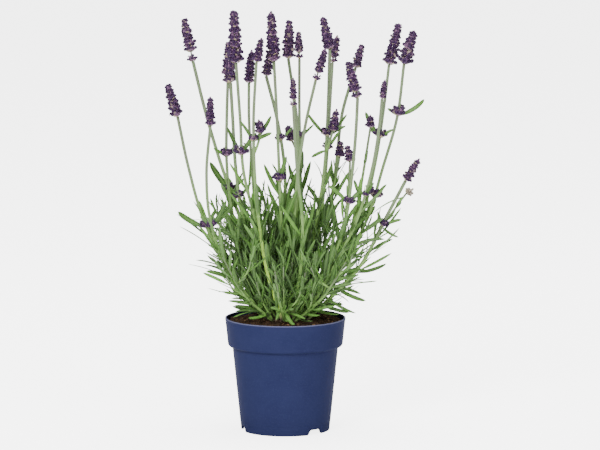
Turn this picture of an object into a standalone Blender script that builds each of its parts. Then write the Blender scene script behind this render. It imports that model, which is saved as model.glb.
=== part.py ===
"""Potted lavender: a flowering plant in a 12 cm round nursery pot filled with compost.

Run with: blender --background --python part.py

Frame: metres, +Z up, origin at the centre of the pot's underside, the plant's front towards -Y.
Heights of the plant are measured from the pot's rim, so that the plant follows the pot's height.
Each object is one closed solid: the pot, the soil, the woody crown, every flower stem with its own
leaves, every flower spike, and every leafy branch.
"""

import math
import random
from collections import namedtuple

import bmesh
import bpy
import numpy as np
from mathutils import Quaternion, Vector, noise

MM = 0.001
GAP = 0.3 * MM  # between pieces that touch
UP = Vector((0, 0, 1))

# Pot: thin-walled, injection-moulded, with a stacking band under the rim.
POT_HEIGHT = 113 * MM
RIM_DIAMETER = 120 * MM
BASE_DIAMETER = 88 * MM
WALL = 1.1 * MM
LIP = 1.8 * MM  # the rim's thickened edge
LIP_HEIGHT = 2 * MM
BAND_HEIGHT = 28 * MM
BAND_DRAFT = 2.8 * MM  # how much the band narrows towards its lower edge
SHOULDER = 4.5 * MM  # step from the band in to the wall
SHOULDER_DROP = 1.5 * MM
FLOOR_LIFT = 5.5 * MM  # the floor stands clear of the ground inside the foot ring
FOOT_RING = 2.5 * MM
PAD_DIAMETER = 22 * MM  # the floor dips to the ground in the middle
PAD_DRAFT = 4 * MM
POT_SEGMENTS = 48
NOTCHES = 3
NOTCH_TURN = math.radians(-46.5)  # azimuth of the notch that shows at the front
NOTCH_WIDTH = 20 * MM
NOTCH_HEIGHT = 5 * MM
DRAIN_HOLES = 6
DRAIN_DIAMETER = 8 * MM
DRAIN_CIRCLE = 56 * MM

# Soil: peat compost, mounded a little towards the plant.
SOIL_BELOW_RIM = 4.5 * MM
SOIL_MOUND = 3.5 * MM
SOIL_ROUGHNESS = 0.9 * MM
SOIL_SEGMENTS = 40

# Woody crown: the old wood that all stems stand on, seated in a pocket of the soil.
CROWN_DIAMETER = 54 * MM
CROWN_DEPTH = 7 * MM
CROWN_RISE = 5 * MM
CROWN_ROUGHNESS = 1.6 * MM
CROWN_SEGMENTS = 20

# Stems and leaves.
STEM_FOOT = 1.35 * MM  # half the square stem's diagonal, at the foot
STEM_NECK = 0.8 * MM
WHORL_RADIUS = 3.6 * MM  # a ring of flowers low on a stem
WHORL_HALF = 2.4 * MM
STEM_BOW = 0.75  # below 1, a stem leans out most near its foot
STEM_STEP = 34 * MM  # the longest straight piece of a stem
LEAF_WIDTH = 4.2 * MM
LEAF_THICKNESS = 0.9 * MM
LEAF_LENGTH = (27 * MM, 40 * MM)
BRACT_LENGTH = (15 * MM, 24 * MM)
LEAF_OUTLINE = ((0, 0.16), (0.3, 0.92), (0.68, 0.84))  # (share of the length, share of the width)
LEAF_ARCH = 0.12
FIRST_LEAVES = 16 * MM  # height of a stem's lowest pair of leaves
LEAF_STEP = 25 * MM
TOP_LEAVES = 104 * MM
LEAF_FLOOR = 3 * MM  # leaves stay this far above the rim
LEAF_RISES = (24, 38, 54)  # degrees from upright that a pair may take
LEAF_ROLL = math.radians(40)
LEAF_ROOM = 0.7 * MM

# Spikes.
SPIKE_LOBES = 4  # flowers round each ring, the next ring's between them
SPIKE_PITCH = 7.5 * MM
RACHIS = 1.0 * MM

# Leafy branches.
BRANCH_FOOT = 1.6 * MM
BRANCH_TIP = 0.7 * MM
TWIG_LENGTH = 34 * MM
TWIG_FOOT = 1.0 * MM
BRANCH_LEAF_STEP = 17 * MM

# One flowering stem, in millimetres from the rim's centre: where its foot stands on the crown, how
# far it has bent sideways at each BEND_STEP of height, the neck that carries the spike and the
# spike's tip, the spike's radius, the bare length above its lowest ring of flowers, and the heights
# of the rings of flowers lower down the stem.
Stem = namedtuple("Stem", "foot bends neck tip radius gap whorls")
BEND_STEP = 50
FLOWER_STEMS = (
    Stem((-12, 0), (-24, -46, -64, -79), (-92, 36, 252), (-101, 42, 295), 5.8, 8, (125,)),
    Stem((-20, -2), (-57, -81, -95), (-106, -20, 203), (-116, -24, 236), 5.8, 0, (93,)),
    Stem((-18, -12), (-55, -73, -77), (-73, -60, 198), (-73, -62, 228), 4.5, 0, (97,)),
    Stem((-6, -11), (-15, -29, -41, -44), (-48, -40, 258), (-50, -46, 311), 6.8, 0, (168,)),
    Stem((-15, 6), (-35, -52, -58, -58), (-57, 12, 233), (-56, 11, 275), 5.8, 5, (161,)),
    Stem((-11, -6.5), (-27, -42, -49, -52), (-54, -4, 235), (-53, -3, 269), 5.0, 0, (121,)),
    Stem((-3.5, -18), (-18, -26, -30, -31), (-28, -44, 259), (-23, -46, 284), 4.5, 0, (182,)),
    Stem((-7, 0), (-20, -29, -33, -36), (-36, 8, 233), (-33, 9, 267), 5.2, 0, ()),
    Stem((0.5, -7), (-2, -4, -6, -8), (-11, -24, 258), (-14, -30, 309), 6.2, 0, (140,)),
    Stem((-6, 7), (1, 0, -1, -9), (-19, 20, 239), (-15, 19, 265), 4.8, 0, (176,)),
    Stem((1, 1), (8, 11, 13, 11), (3, 14, 257), (4, 15, 296), 5.8, 0, ()),
    Stem((3.5, 12), (11, 15, 15, 14), (14, 60, 252), (13, 62, 280), 4.3, 4, (175,)),
    Stem((6.5, -13), (15, 17, 12, 9), (8, -66, 218), (8, -68, 247), 3.8, 5, ()),
    Stem((13, 2), (23, 32, 39, 42), (44, 4, 267), (37, 6, 300), 5.5, 0, (182,)),
    Stem((11, 11), (28, 36, 41, 44), (47, 44, 250), (52, 46, 278), 4.7, 3, (165,)),
    Stem((7, -4.5), (7, 9, 13, 21), (30, -22, 239), (40, -24, 272), 4.6, 6, ()),
    Stem((17, 12), (34, 44, 51, 57), (70, 50, 244), (77, 53, 268), 4.8, 0, ()),
    Stem((13.5, -10), (42, 59, 66, 70), (71, -44, 224), (61, -40, 260), 5.4, 4, (119,)),
    Stem((19.5, 4), (51, 76, 89, 97), (103, 22, 250), (113, 24, 292), 6.2, 0, (179,)),
    Stem((22, -4), (56, 81, 96, 110), (117, -18, 255), (127, -20, 289), 6.6, 0, (205, 123)),
    Stem((17, -17), (46, 70, 85, 93), (95, -36, 222), (98, -38, 242), 3.4, 0, (126,)),
    Stem((21.5, -12), (72, 99), (119, -10, 138), (133, -12, 161), 4.6, 0, (94,)),
)

# A small spike on a side shoot: the index of its stem, the height where the shoot leaves it, the
# shoot's end and the spike's tip, in millimetres from the rim's centre, and the spike's radius.
SideSpike = namedtuple("SideSpike", "stem leaves_at neck tip radius")
SIDE_SPIKES = (
    SideSpike(6, 168, (-24, -36, 188), (-26, -38, 201), 3.1),
    SideSpike(11, 155, (7, 42, 171), (2, 41, 186), 3.2),
    SideSpike(13, 165, (47, -6, 187), (51, -8, 208), 3.0),
    SideSpike(20, 96, (84, -14, 191), (84, -15, 203), 2.7),
    SideSpike(16, 115, (54, 18, 158), (55, 17, 173), 3.0),
    SideSpike(17, 105, (64, -20, 158), (61, -19, 174), 3.2),
    SideSpike(21, 86, (120, 14, 122), (128, 17, 127), 3.4),
)

# A leafy branch: its foot on the crown, and the bend and the end it grows through.
Branch = namedtuple("Branch", "foot bend end")
LEAFY_BRANCHES = (
    Branch((-12, -19), (-38, -29, 24), (-62, -38, 66)),
    Branch((-18, 13), (-38, 30, 36), (-58, 46, 92)),
    Branch((-3, 21), (-4, 44, 38), (-4, 66, 104)),
    Branch((12, 20), (40, 37, 32), (66, 50, 84)),
    Branch((9, -22), (34, -36, 22), (60, -46, 62)),
    Branch((0, -24), (-5, -46, 20), (-10, -66, 56)),
)


def material(name, colour, roughness, metallic=0.0):
    made = bpy.data.materials.new(name)
    made.use_nodes = True
    shader = made.node_tree.nodes["Principled BSDF"]
    shader.inputs["Base Color"].default_value = (*colour, 1)
    shader.inputs["Roughness"].default_value = roughness
    shader.inputs["Metallic"].default_value = metallic
    return made


def object_from(name, bm, finish=None, weld=1e-7):
    """An object that holds the closed mesh bm, with its faces pointing out."""
    bmesh.ops.remove_doubles(bm, verts=bm.verts, dist=weld)
    bmesh.ops.recalc_face_normals(bm, faces=bm.faces)
    mesh = bpy.data.meshes.new(name)
    bm.to_mesh(mesh)
    bm.free()
    if finish:
        mesh.materials.append(finish)
    made = bpy.data.objects.new(name, mesh)
    bpy.context.collection.objects.link(made)
    return made


def combine(target, other, operation):
    """Adds other to target, or cuts it away. Other stays in the scene as a wire helper."""
    other.hide_render = True
    other.display_type = "WIRE"
    boolean = target.modifiers.new(f"{operation.lower()}_{other.name}", "BOOLEAN")
    boolean.object = other
    boolean.operation = operation
    boolean.solver = "EXACT"
    boolean.use_self = operation == "UNION"  # leaves of one stem may cross


def turned(name, profile, segments, finish):
    """The closed solid that a profile of (radius, height) points sweeps round the Z axis."""
    bm = bmesh.new()
    points = [bm.verts.new((radius, 0, height)) for radius, height in profile]
    ends = zip(points, points[1:] if profile[0][0] == 0 else points[1:] + points[:1])
    edges = [bm.edges.new(pair) for pair in ends]
    bmesh.ops.spin(
        bm, geom=points + edges, cent=(0, 0, 0), axis=(0, 0, 1),
        angle=math.tau, steps=segments, use_merge=True,
    )
    made = object_from(name, bm, finish, weld=0.01 * MM)
    made.data.shade_smooth()
    made.data.set_sharp_from_angle(angle=math.radians(35))
    return made


def loft(bm, rings, tip=None):
    """Skins a closed body over rings of points. It ends in a flat cap, or in a point at tip."""
    loops = [[bm.verts.new(point) for point in ring] for ring in rings]
    count = len(loops[0])
    for low, high in zip(loops, loops[1:]):
        for i in range(count):
            j = (i + 1) % count
            bm.faces.new((low[i], low[j], high[j], high[i]))
    bm.faces.new(loops[0][::-1])
    if tip is None:
        bm.faces.new(loops[-1])
        return
    point = bm.verts.new(tip)
    for i in range(count):
        bm.faces.new((loops[-1][i], loops[-1][(i + 1) % count], point))


def ring(centre, along, radius, sides):
    """Points of a regular ring square to the direction along."""
    across = along.cross(Vector((0, 1, 0))).normalized()
    over = across.cross(along).normalized()
    turns = [math.tau * i / sides for i in range(sides)]
    return [centre + radius * (math.cos(t) * across + math.sin(t) * over) for t in turns]


class Line:
    """A smooth curve that only rises, through the points given, measured along by height."""

    def __init__(self, points):
        self.points = np.array([tuple(point) for point in points])
        self.heights = self.points[:, 2]
        self.low, self.high = points[0].z, points[-1].z
        self.slopes = np.gradient(self.points, self.heights, axis=0)

    def at(self, height):
        last = len(self.heights) - 2
        i = min(max(int(np.searchsorted(self.heights, height)) - 1, 0), last)
        span = self.heights[i + 1] - self.heights[i]
        t = (height - self.heights[i]) / span
        start, end = self.points[i], self.points[i + 1]
        leaving, arriving = self.slopes[i] * span, self.slopes[i + 1] * span
        blend = (2 * t**3 - 3 * t**2 + 1) * start + (t**3 - 2 * t**2 + t) * leaving
        return Vector(blend + (3 * t**2 - 2 * t**3) * end + (t**3 - t**2) * arriving)

    def along(self, height):
        return (self.at(height + 0.5 * MM) - self.at(height - 0.5 * MM)).normalized()

    def share(self, share):
        return self.low + (self.high - self.low) * share

    def points_along(self, count):
        return [self.at(self.share(i / count)) for i in range(count + 1)]


class Room:
    """The space that is taken: balls along every stem, spike and leaf, each with its owner."""

    LEAF = -1

    def __init__(self):
        self.centres = np.zeros((0, 3))
        self.radii = np.zeros(0)
        self.owners = np.zeros(0, int)

    def take(self, points, radius, owner):
        added = np.array([tuple(p) for p in points])
        self.centres = np.vstack([self.centres, added])
        self.radii = np.append(self.radii, np.full(len(added), radius))
        self.owners = np.append(self.owners, np.full(len(added), owner))

    def clearance(self, points, radius, owner):
        """The least gap from these balls to those of every other owner, and to the leaf floor."""
        others = self.owners != owner
        at = np.array([tuple(p) for p in points])
        apart = np.linalg.norm(at[:, None] - self.centres[others][None], axis=2)
        above = at[:, 2].min() - rim_height(LEAF_FLOOR)
        return min((apart - self.radii[others]).min() - radius, above)


def rim_height(height):
    return POT_HEIGHT + height


def from_rim(point):
    """A point given in millimetres from the rim's centre."""
    x, y, z = point
    return Vector((x * MM, y * MM, rim_height(z * MM)))


def inner_wall_radius(height):
    """The pot's inner radius at a height, on the wall under the shoulder or in the band above."""
    shoulder = POT_HEIGHT - BAND_HEIGHT
    band_low = RIM_DIAMETER / 2 - BAND_DRAFT
    if height >= shoulder:
        share = (height - shoulder) / BAND_HEIGHT
        return band_low + (RIM_DIAMETER / 2 - band_low) * share - WALL
    wall_top = band_low - SHOULDER
    share = max(height, 0) / shoulder
    return BASE_DIAMETER / 2 + (wall_top - BASE_DIAMETER / 2) * share - WALL


def make_pot(finish):
    rim = RIM_DIAMETER / 2
    base = BASE_DIAMETER / 2
    pad = PAD_DIAMETER / 2
    shoulder = POT_HEIGHT - BAND_HEIGHT
    band_low = rim - BAND_DRAFT
    floor = FLOOR_LIFT + WALL
    profile = (
        (0, 0), (pad, 0), (pad + PAD_DRAFT, FLOOR_LIFT),
        (base - FOOT_RING, FLOOR_LIFT), (base - FOOT_RING, 0), (base, 0),
        (band_low - SHOULDER, shoulder - SHOULDER_DROP / 2), (band_low - SHOULDER / 4, shoulder),
        (band_low, shoulder + SHOULDER_DROP), (rim, POT_HEIGHT),
        (rim - LIP, POT_HEIGHT), (inner_wall_radius(POT_HEIGHT - LIP_HEIGHT), POT_HEIGHT - LIP_HEIGHT),
        (inner_wall_radius(shoulder + 2 * SHOULDER_DROP), shoulder + 2 * SHOULDER_DROP),
        (inner_wall_radius(shoulder - 1e-9), shoulder), (inner_wall_radius(floor), floor),
        (pad + PAD_DRAFT, floor), (pad, WALL), (0, WALL),
    )
    pot = turned("pot", profile, POT_SEGMENTS, finish)
    bm = bmesh.new()
    for i in range(NOTCHES):
        turn = NOTCH_TURN + math.tau * i / NOTCHES
        out = Vector((math.cos(turn), math.sin(turn), 0))
        side = UP.cross(out)
        outline = [(-0.5, -1), (0.5, -1), (0.5, 0), (0.32, 0.8), (0, 1), (-0.32, 0.8), (-0.5, 0)]
        rings = [
            [out * reach + side * NOTCH_WIDTH * x + UP * NOTCH_HEIGHT * z for x, z in outline]
            for reach in (base - 2 * FOOT_RING, base + FOOT_RING)
        ]
        loft(bm, rings)
    combine(pot, object_from("notch_cutter", bm), "DIFFERENCE")
    bm = bmesh.new()
    for i in range(DRAIN_HOLES):
        turn = NOTCH_TURN + math.tau * (i + 0.5) / DRAIN_HOLES
        centre = Vector((math.cos(turn), math.sin(turn), 0)) * DRAIN_CIRCLE / 2
        lows = [ring(centre + UP * z, UP, DRAIN_DIAMETER / 2, 12) for z in (FLOOR_LIFT / 2, 2 * floor)]
        loft(bm, lows)
    combine(pot, object_from("drain_cutter", bm), "DIFFERENCE")


def soil_height(radius):
    """The smooth height of the soil's surface at a radius."""
    share = min(radius / (RIM_DIAMETER / 2 - WALL), 1)
    return rim_height(-SOIL_BELOW_RIM + SOIL_MOUND * (1 - share**2))


def crown_height(radius):
    """The height of the crown's domed top at a radius."""
    share = min(radius / (CROWN_DIAMETER / 2), 1)
    edge = soil_height(CROWN_DIAMETER / 2)
    return edge + CROWN_RISE * (1 - share**2)


def make_soil(finish):
    pad = PAD_DIAMETER / 2
    floor = FLOOR_LIFT + WALL + GAP
    shoulder = POT_HEIGHT - BAND_HEIGHT
    edge = rim_height(-SOIL_BELOW_RIM)
    pocket = CROWN_DIAMETER / 2 + GAP
    pocket_floor = soil_height(pocket) - CROWN_DEPTH - GAP
    top_radii = [pocket + (inner_wall_radius(edge) - GAP - pocket) * i / 4 for i in range(4)]
    profile = [
        (0, WALL + GAP), (pad, WALL + GAP), (pad + PAD_DRAFT, floor),
        (inner_wall_radius(floor) - GAP, floor),
        (inner_wall_radius(shoulder - 1e-9) - GAP, shoulder + GAP),
        (inner_wall_radius(shoulder + 2 * SHOULDER_DROP) - GAP, shoulder + 2 * SHOULDER_DROP + GAP),
        (inner_wall_radius(edge) - GAP, edge),
    ]
    profile += [(radius, soil_height(radius)) for radius in reversed(top_radii)]
    profile += [(pocket, pocket_floor), (0, pocket_floor)]
    soil = turned("soil", profile, SOIL_SEGMENTS, finish)
    for vertex in soil.data.vertices:
        radius = vertex.co.xy.length
        if pocket + 2 * MM < radius < top_radii[-1] + 1 * MM and vertex.co.z > edge:
            vertex.co.z += SOIL_ROUGHNESS * noise.noise(vertex.co / (9 * MM))


def make_crown(finish):
    outer = CROWN_DIAMETER / 2
    bottom = soil_height(outer + GAP) - CROWN_DEPTH
    radii = [outer * share for share in (1, 0.85, 0.6, 0.3)]
    profile = [(0, bottom), (outer * 0.9, bottom), (outer, bottom + CROWN_DEPTH / 2)]
    profile += [(radius, crown_height(radius)) for radius in radii]
    profile += [(0, crown_height(0))]
    crown = turned("woody_crown", profile, CROWN_SEGMENTS, finish)
    for vertex in crown.data.vertices:
        if vertex.co.z > bottom + CROWN_DEPTH * 0.4:
            worn = CROWN_ROUGHNESS * (0.5 + 0.5 * noise.noise(vertex.co / (7 * MM)))
            vertex.co -= vertex.co.normalized() * worn


def foot_on_crown(foot, radius):
    """Where a stem starts: level with the highest wood under it, a gap above."""
    x, y = (c * MM for c in foot)
    return Vector((x, y, crown_height(max(math.hypot(x, y) - 2 * radius, 0)) + GAP))


def stem_line(stem):
    foot = foot_on_crown(stem.foot, STEM_FOOT)
    neck = from_rim(stem.neck)
    points = [foot]
    for i, bend in enumerate(stem.bends):
        height = rim_height((i + 1) * BEND_STEP * MM)
        rise = (height - foot.z) / (neck.z - foot.z)
        points.append(Vector((bend * MM, foot.y + (neck.y - foot.y) * rise**STEM_BOW, height)))
    return Line(points + [neck])


def branch_line(branch):
    foot = foot_on_crown(branch.foot, BRANCH_FOOT)
    return Line([foot, from_rim(branch.bend), from_rim(branch.end)])


def side_line(side, stem_way):
    """The shoot that leaves a stem inside its wood and rises to a small spike."""
    start = stem_way.at(rim_height(side.leaves_at * MM))
    neck = from_rim(side.neck)
    middle = start.lerp(neck, 0.5) + (neck - from_rim(side.tip)) * 0.1
    return Line([start, middle, neck])


def tube(bm, line, low, high, nodes=(), whorls=(), first=0.0):
    """A square stem along a line, from radius low to radius high, swollen at each whorl.

    It has a ring at every node, where leaves or shoots join it, and enough between to look smooth.
    """
    swollen = {height: WHORL_RADIUS for height in whorls}
    heights = {line.share(first), line.high, *nodes, *whorls}
    heights.update(height + step for height in whorls for step in (-WHORL_HALF, WHORL_HALF))
    known = sorted(heights)
    for below, above in zip(known, known[1:]):
        steps = math.ceil((above - below) / STEM_STEP)
        heights.update(below + (above - below) * i / steps for i in range(1, steps))
    rings = []
    for height in sorted(heights):
        along = UP if height == line.low else line.along(height)
        plain = low + (high - low) * (height - line.low) / (line.high - line.low)
        rings.append(ring(line.at(height), along, swollen.get(height, plain), 4))
    loft(bm, rings)


def leaf_points(root, out, rise, length):
    """The midrib of a leaf that leaves root towards out, tilted rise from upright, and arches."""
    heading = out * math.sin(rise) + UP * math.cos(rise)
    shares = [share / 8 for share in range(9)]
    return [root + heading * (length * s) + (out - UP) * (LEAF_ARCH * length * s * s) for s in shares]


def add_leaf(bm, points, out, width, roll):
    """A narrow blade with a keel under its midrib, along those nine points."""
    along = (points[8] - points[0]).normalized()
    side = Quaternion(along, roll) @ UP.cross(out)
    down = side.cross(along).normalized()
    rings = []
    for share, wide in LEAF_OUTLINE:
        centre = points[round(share * 8)]
        edge = side * (width / 2 * wide)
        rings.append([centre - edge, centre + edge, centre + down * LEAF_THICKNESS * wide])
    loft(bm, rings, points[8])


def add_pair(bm, line, height, stem_radius, lengths, room, owner, rng):
    """Two opposite leaves, turned and tilted so that they grow where there is most room."""
    centre = line.at(height)
    length = rng.uniform(*lengths)
    width = LEAF_WIDTH * rng.uniform(0.85, 1.1)
    roll = rng.uniform(-LEAF_ROLL, LEAF_ROLL)
    first = rng.random() * math.pi
    best = -1.0
    for size in (1, 0.8, 0.6):
        for rise in LEAF_RISES:
            for step in range(12):
                turn = first + math.pi * step / 12
                out = Vector((math.cos(turn), math.sin(turn), 0))
                pair = []
                for way in (out, -out):
                    root = centre + way * stem_radius * 0.4
                    pair.append((leaf_points(root, way, math.radians(rise), length * size), way))
                clear = min(room.clearance(points[1:], width / 2, owner) for points, _ in pair)
                if clear > best:
                    best, found = clear, pair
        if best > LEAF_ROOM:
            break
    if best < LEAF_ROOM / 2:
        return
    for points, way in found:
        add_leaf(bm, points, way, width, roll)
        room.take(points[1:], width / 2, Room.LEAF)


def add_leaves(bm, line, foot_radius, tip_radius, heights, lengths, room, owner, rng):
    for height in heights:
        share = (height - line.low) / (line.high - line.low)
        radius = foot_radius + (tip_radius - foot_radius) * share
        add_pair(bm, line, height, radius, lengths, room, owner, rng)


def make_stem(number, stem, line, shoots, finish, room, rng):
    """A square flower stem, with its side shoots and leaves united with it."""
    name = f"flower_stem_{number + 1:02d}"
    whorls = [rim_height(height * MM) for height in stem.whorls]
    bracts = [height - 1.5 * WHORL_HALF for height in whorls]
    heights = np.arange(FIRST_LEAVES, TOP_LEAVES, LEAF_STEP) + rng.uniform(0, LEAF_STEP / 2)
    free = [h for h in rim_height(heights).tolist() if all(abs(h - w) > LEAF_STEP / 2 for w in whorls)]
    bm = bmesh.new()
    tube(bm, line, STEM_FOOT, STEM_NECK, free + bracts + [shoot.low for shoot in shoots], whorls)
    made = object_from(name, bm, finish)
    bm = bmesh.new()
    for shoot in shoots:
        tube(bm, shoot, STEM_NECK, 0.75 * STEM_NECK)
    if shoots:
        combine(made, object_from(f"{name}_shoots", bm), "UNION")
        bm = bmesh.new()
    add_leaves(bm, line, STEM_FOOT, STEM_NECK, free, LEAF_LENGTH, room, number, rng)
    add_leaves(bm, line, STEM_FOOT, STEM_NECK, bracts, BRACT_LENGTH, room, number, rng)
    combine(made, object_from(f"{name}_leaves", bm), "UNION")


def make_spike(name, neck, tip, radius, gap, finish):
    """A flower spike: rings of flowers on the stem's end, the lowest ring set apart by the gap."""
    along = (tip - neck).normalized()
    length = (tip - neck).length
    start = min(gap + 3 * MM, length / 2) if gap else 0
    stations = []
    if gap:
        bare = RACHIS / radius
        stations = [(0, 0.4, 0), (1.5 * MM, 0.8, 1), (2.9 * MM, 0.75, 1), (3.1 * MM, bare, 0)]
        stations += [(start - 0.4 * MM, bare, 0)]
    count = max(2, round((length - start) / SPIKE_PITCH))
    pitch = (length - start) / count
    for i in range(count):
        swell = 1 - 0.42 * (i / count) ** 2
        stations += [(start + pitch * (i + 0.1), 0.66 * swell, 0)]
        stations += [(start + pitch * (i + 0.66), swell, 1 + i % 2)]
    rings = []
    for at, wide, lobed in stations:
        centre = neck + along * (at + GAP)
        points = ring(centre, along, radius * wide, 2 * SPIKE_LOBES)
        if lobed:
            points[lobed % 2::2] = [centre.lerp(point, 0.76) for point in points[lobed % 2::2]]
        rings.append(points)
    bm = bmesh.new()
    loft(bm, rings, tip)
    object_from(name, bm, finish)


def make_branch(number, line, twigs, finish, room, owners, rng):
    """A leafy branch that doesn't flower, with two twigs and leaves in pairs."""
    name = f"leafy_branch_{number + 1}"
    count = max(2, round((line.high - line.low) / BRANCH_LEAF_STEP))
    heights = [line.share((i + 0.8) / (count + 0.2)) for i in range(count)]
    ends = [(twig.share(0.5), twig.share(0.93)) for twig in twigs]
    bm = bmesh.new()
    tube(bm, line, BRANCH_FOOT, BRANCH_TIP, heights + [twig.low for twig in twigs])
    made = object_from(name, bm, finish)
    bm = bmesh.new()
    for twig, nodes in zip(twigs, ends):
        tube(bm, twig, TWIG_FOOT, BRANCH_TIP, nodes)
    combine(made, object_from(f"{name}_twigs", bm), "UNION")
    bm = bmesh.new()
    add_leaves(bm, line, BRANCH_FOOT, BRANCH_TIP, heights, LEAF_LENGTH, room, owners[0], rng)
    for twig, nodes, owner in zip(twigs, ends, owners[1:]):
        add_leaves(bm, twig, TWIG_FOOT, BRANCH_TIP, nodes, LEAF_LENGTH, room, owner, rng)
    combine(made, object_from(f"{name}_leaves", bm), "UNION")


def twig_lines(line, room, owners):
    """Two twigs that leave a branch on the sides where there is most room."""
    found = []
    for share, owner in zip((0.36, 0.68), owners[1:]):
        start = line.at(line.share(share))
        best = -1.0
        for step in range(16):
            turn = math.tau * step / 16
            out = Vector((math.cos(turn), math.sin(turn), 0)) * TWIG_LENGTH
            rise = UP * TWIG_LENGTH
            twig = Line([start, start + 0.4 * out + 0.3 * rise, start + 0.72 * out + 0.75 * rise])
            clear = room.clearance(twig.points_along(12)[3:], TWIG_FOOT, owners[0])
            if found:
                clear = min(clear, (twig.at(twig.high) - found[0].at(found[0].high)).length / 4)
            if clear > best:
                best, chosen = clear, twig
        found.append(chosen)
        room.take(chosen.points_along(12)[2:], TWIG_FOOT, owner)
    return found


def make_plant(greens, purples, woods):
    make_crown(woods)
    rng = random.Random(7)
    room = Room()
    stems = [stem_line(stem) for stem in FLOWER_STEMS]
    shoots = [side_line(side, stems[side.stem]) for side in SIDE_SPIKES]
    branches = [branch_line(branch) for branch in LEAFY_BRANCHES]
    owners = [range(len(stems) + 3 * i, len(stems) + 3 * i + 3) for i in range(len(branches))]
    spikes = owners[-1][-1] + 1  # the owner of all spikes and side shoots
    for number, (stem, line) in enumerate(zip(FLOWER_STEMS, stems)):
        room.take(line.points_along(60), STEM_FOOT, number)
        neck, tip = from_rim(stem.neck), from_rim(stem.tip)
        room.take([neck.lerp(tip, i / 12) for i in range(13)], stem.radius * MM, spikes)
        for height in stem.whorls:
            room.take([line.at(rim_height(height * MM))], WHORL_RADIUS, number)
    for side, shoot in zip(SIDE_SPIKES, shoots):
        room.take(shoot.points_along(20)[2:], STEM_NECK, spikes)
        neck, tip = from_rim(side.neck), from_rim(side.tip)
        room.take([neck.lerp(tip, i / 6) for i in range(7)], side.radius * MM, spikes)
    for line, own in zip(branches, owners):
        room.take(line.points_along(40), BRANCH_FOOT, own[0])
    twigs = [twig_lines(line, room, own) for line, own in zip(branches, owners)]
    for number, (stem, line) in enumerate(zip(FLOWER_STEMS, stems)):
        own = [shoot for side, shoot in zip(SIDE_SPIKES, shoots) if side.stem == number]
        make_stem(number, stem, line, own, greens, room, rng)
    for number, line in enumerate(branches):
        make_branch(number, line, twigs[number], greens, room, owners[number], rng)
    for number, stem in enumerate(FLOWER_STEMS):
        name = f"flower_spike_{number + 1:02d}"
        make_spike(name, from_rim(stem.neck), from_rim(stem.tip), stem.radius * MM, stem.gap * MM, purples)
    for number, side in enumerate(SIDE_SPIKES):
        name = f"side_spike_{number + 1}"
        make_spike(name, from_rim(side.neck), from_rim(side.tip), side.radius * MM, 0, purples)


def main():
    for old in list(bpy.data.objects):
        bpy.data.objects.remove(old)
    make_pot(material("blue_plastic", (0.035, 0.055, 0.14), 0.45))
    make_soil(material("peat_compost", (0.03, 0.018, 0.012), 0.95))
    make_plant(
        material("green_leaf", (0.14, 0.25, 0.07), 0.6),
        material("violet_flower", (0.08, 0.02, 0.12), 0.8),
        material("old_wood", (0.12, 0.08, 0.045), 0.85),
    )


main()
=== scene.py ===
import math
import random

import bpy
import numpy as np
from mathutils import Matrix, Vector, noise


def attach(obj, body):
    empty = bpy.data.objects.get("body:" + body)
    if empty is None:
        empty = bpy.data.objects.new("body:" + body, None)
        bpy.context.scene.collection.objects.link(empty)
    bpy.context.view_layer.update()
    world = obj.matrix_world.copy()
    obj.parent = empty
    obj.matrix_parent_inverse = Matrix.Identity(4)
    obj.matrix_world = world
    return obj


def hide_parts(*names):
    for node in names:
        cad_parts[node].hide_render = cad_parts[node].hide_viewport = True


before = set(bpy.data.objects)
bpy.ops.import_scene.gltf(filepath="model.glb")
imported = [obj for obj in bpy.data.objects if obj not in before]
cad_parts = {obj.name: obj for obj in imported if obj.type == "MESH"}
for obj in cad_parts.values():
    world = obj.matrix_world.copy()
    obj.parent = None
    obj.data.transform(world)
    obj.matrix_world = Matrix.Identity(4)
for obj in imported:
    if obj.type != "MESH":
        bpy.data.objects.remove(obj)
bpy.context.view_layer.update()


# ---- Camera ------------------------------------------------------------------------------------
# A long lens a little above the rim of the pot looks at the plant's front, along +Y.

LOOK_DOWN = math.radians(7.8)
CAMERA_DISTANCE = 4.5
LENS = 272
AIM = Vector((0.0146, 0, 0.2055))

lens = bpy.data.cameras.new("camera")
lens.lens = LENS
lens.sensor_width = 36
camera = bpy.data.objects.new("camera", lens)
camera.location = AIM + CAMERA_DISTANCE * Vector((0, -math.cos(LOOK_DOWN), math.sin(LOOK_DOWN)))
camera.rotation_euler = (math.pi / 2 - LOOK_DOWN, 0, 0)
bpy.context.collection.objects.link(camera)
bpy.context.scene.camera = camera


# ---- Studio ------------------------------------------------------------------------------------
# A wide pale table, a bright sky-like surround, one large soft lamp in front on the left, a
# weaker one on the right and one overhead, so that shadows stay faint.

TABLE_RADIUS = 14.0
TABLE_SIDES = 64
TABLE_COLOUR = (0.90, 0.90, 0.90, 1)
TABLE_GLOW = 4.2
SURROUND = (1.0, 1.0, 1.0, 1)
SURROUND_STRENGTH = 0.55
LAMPS = (
    # name, place, size, power
    ("lamp_left", (-1.3, -2.8, 2.1), 1.3, 140),
    ("lamp_right", (2.0, -2.2, 1.2), 1.6, 30),
    ("lamp_above", (0.1, 0.3, 2.6), 1.8, 85),
)

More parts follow.
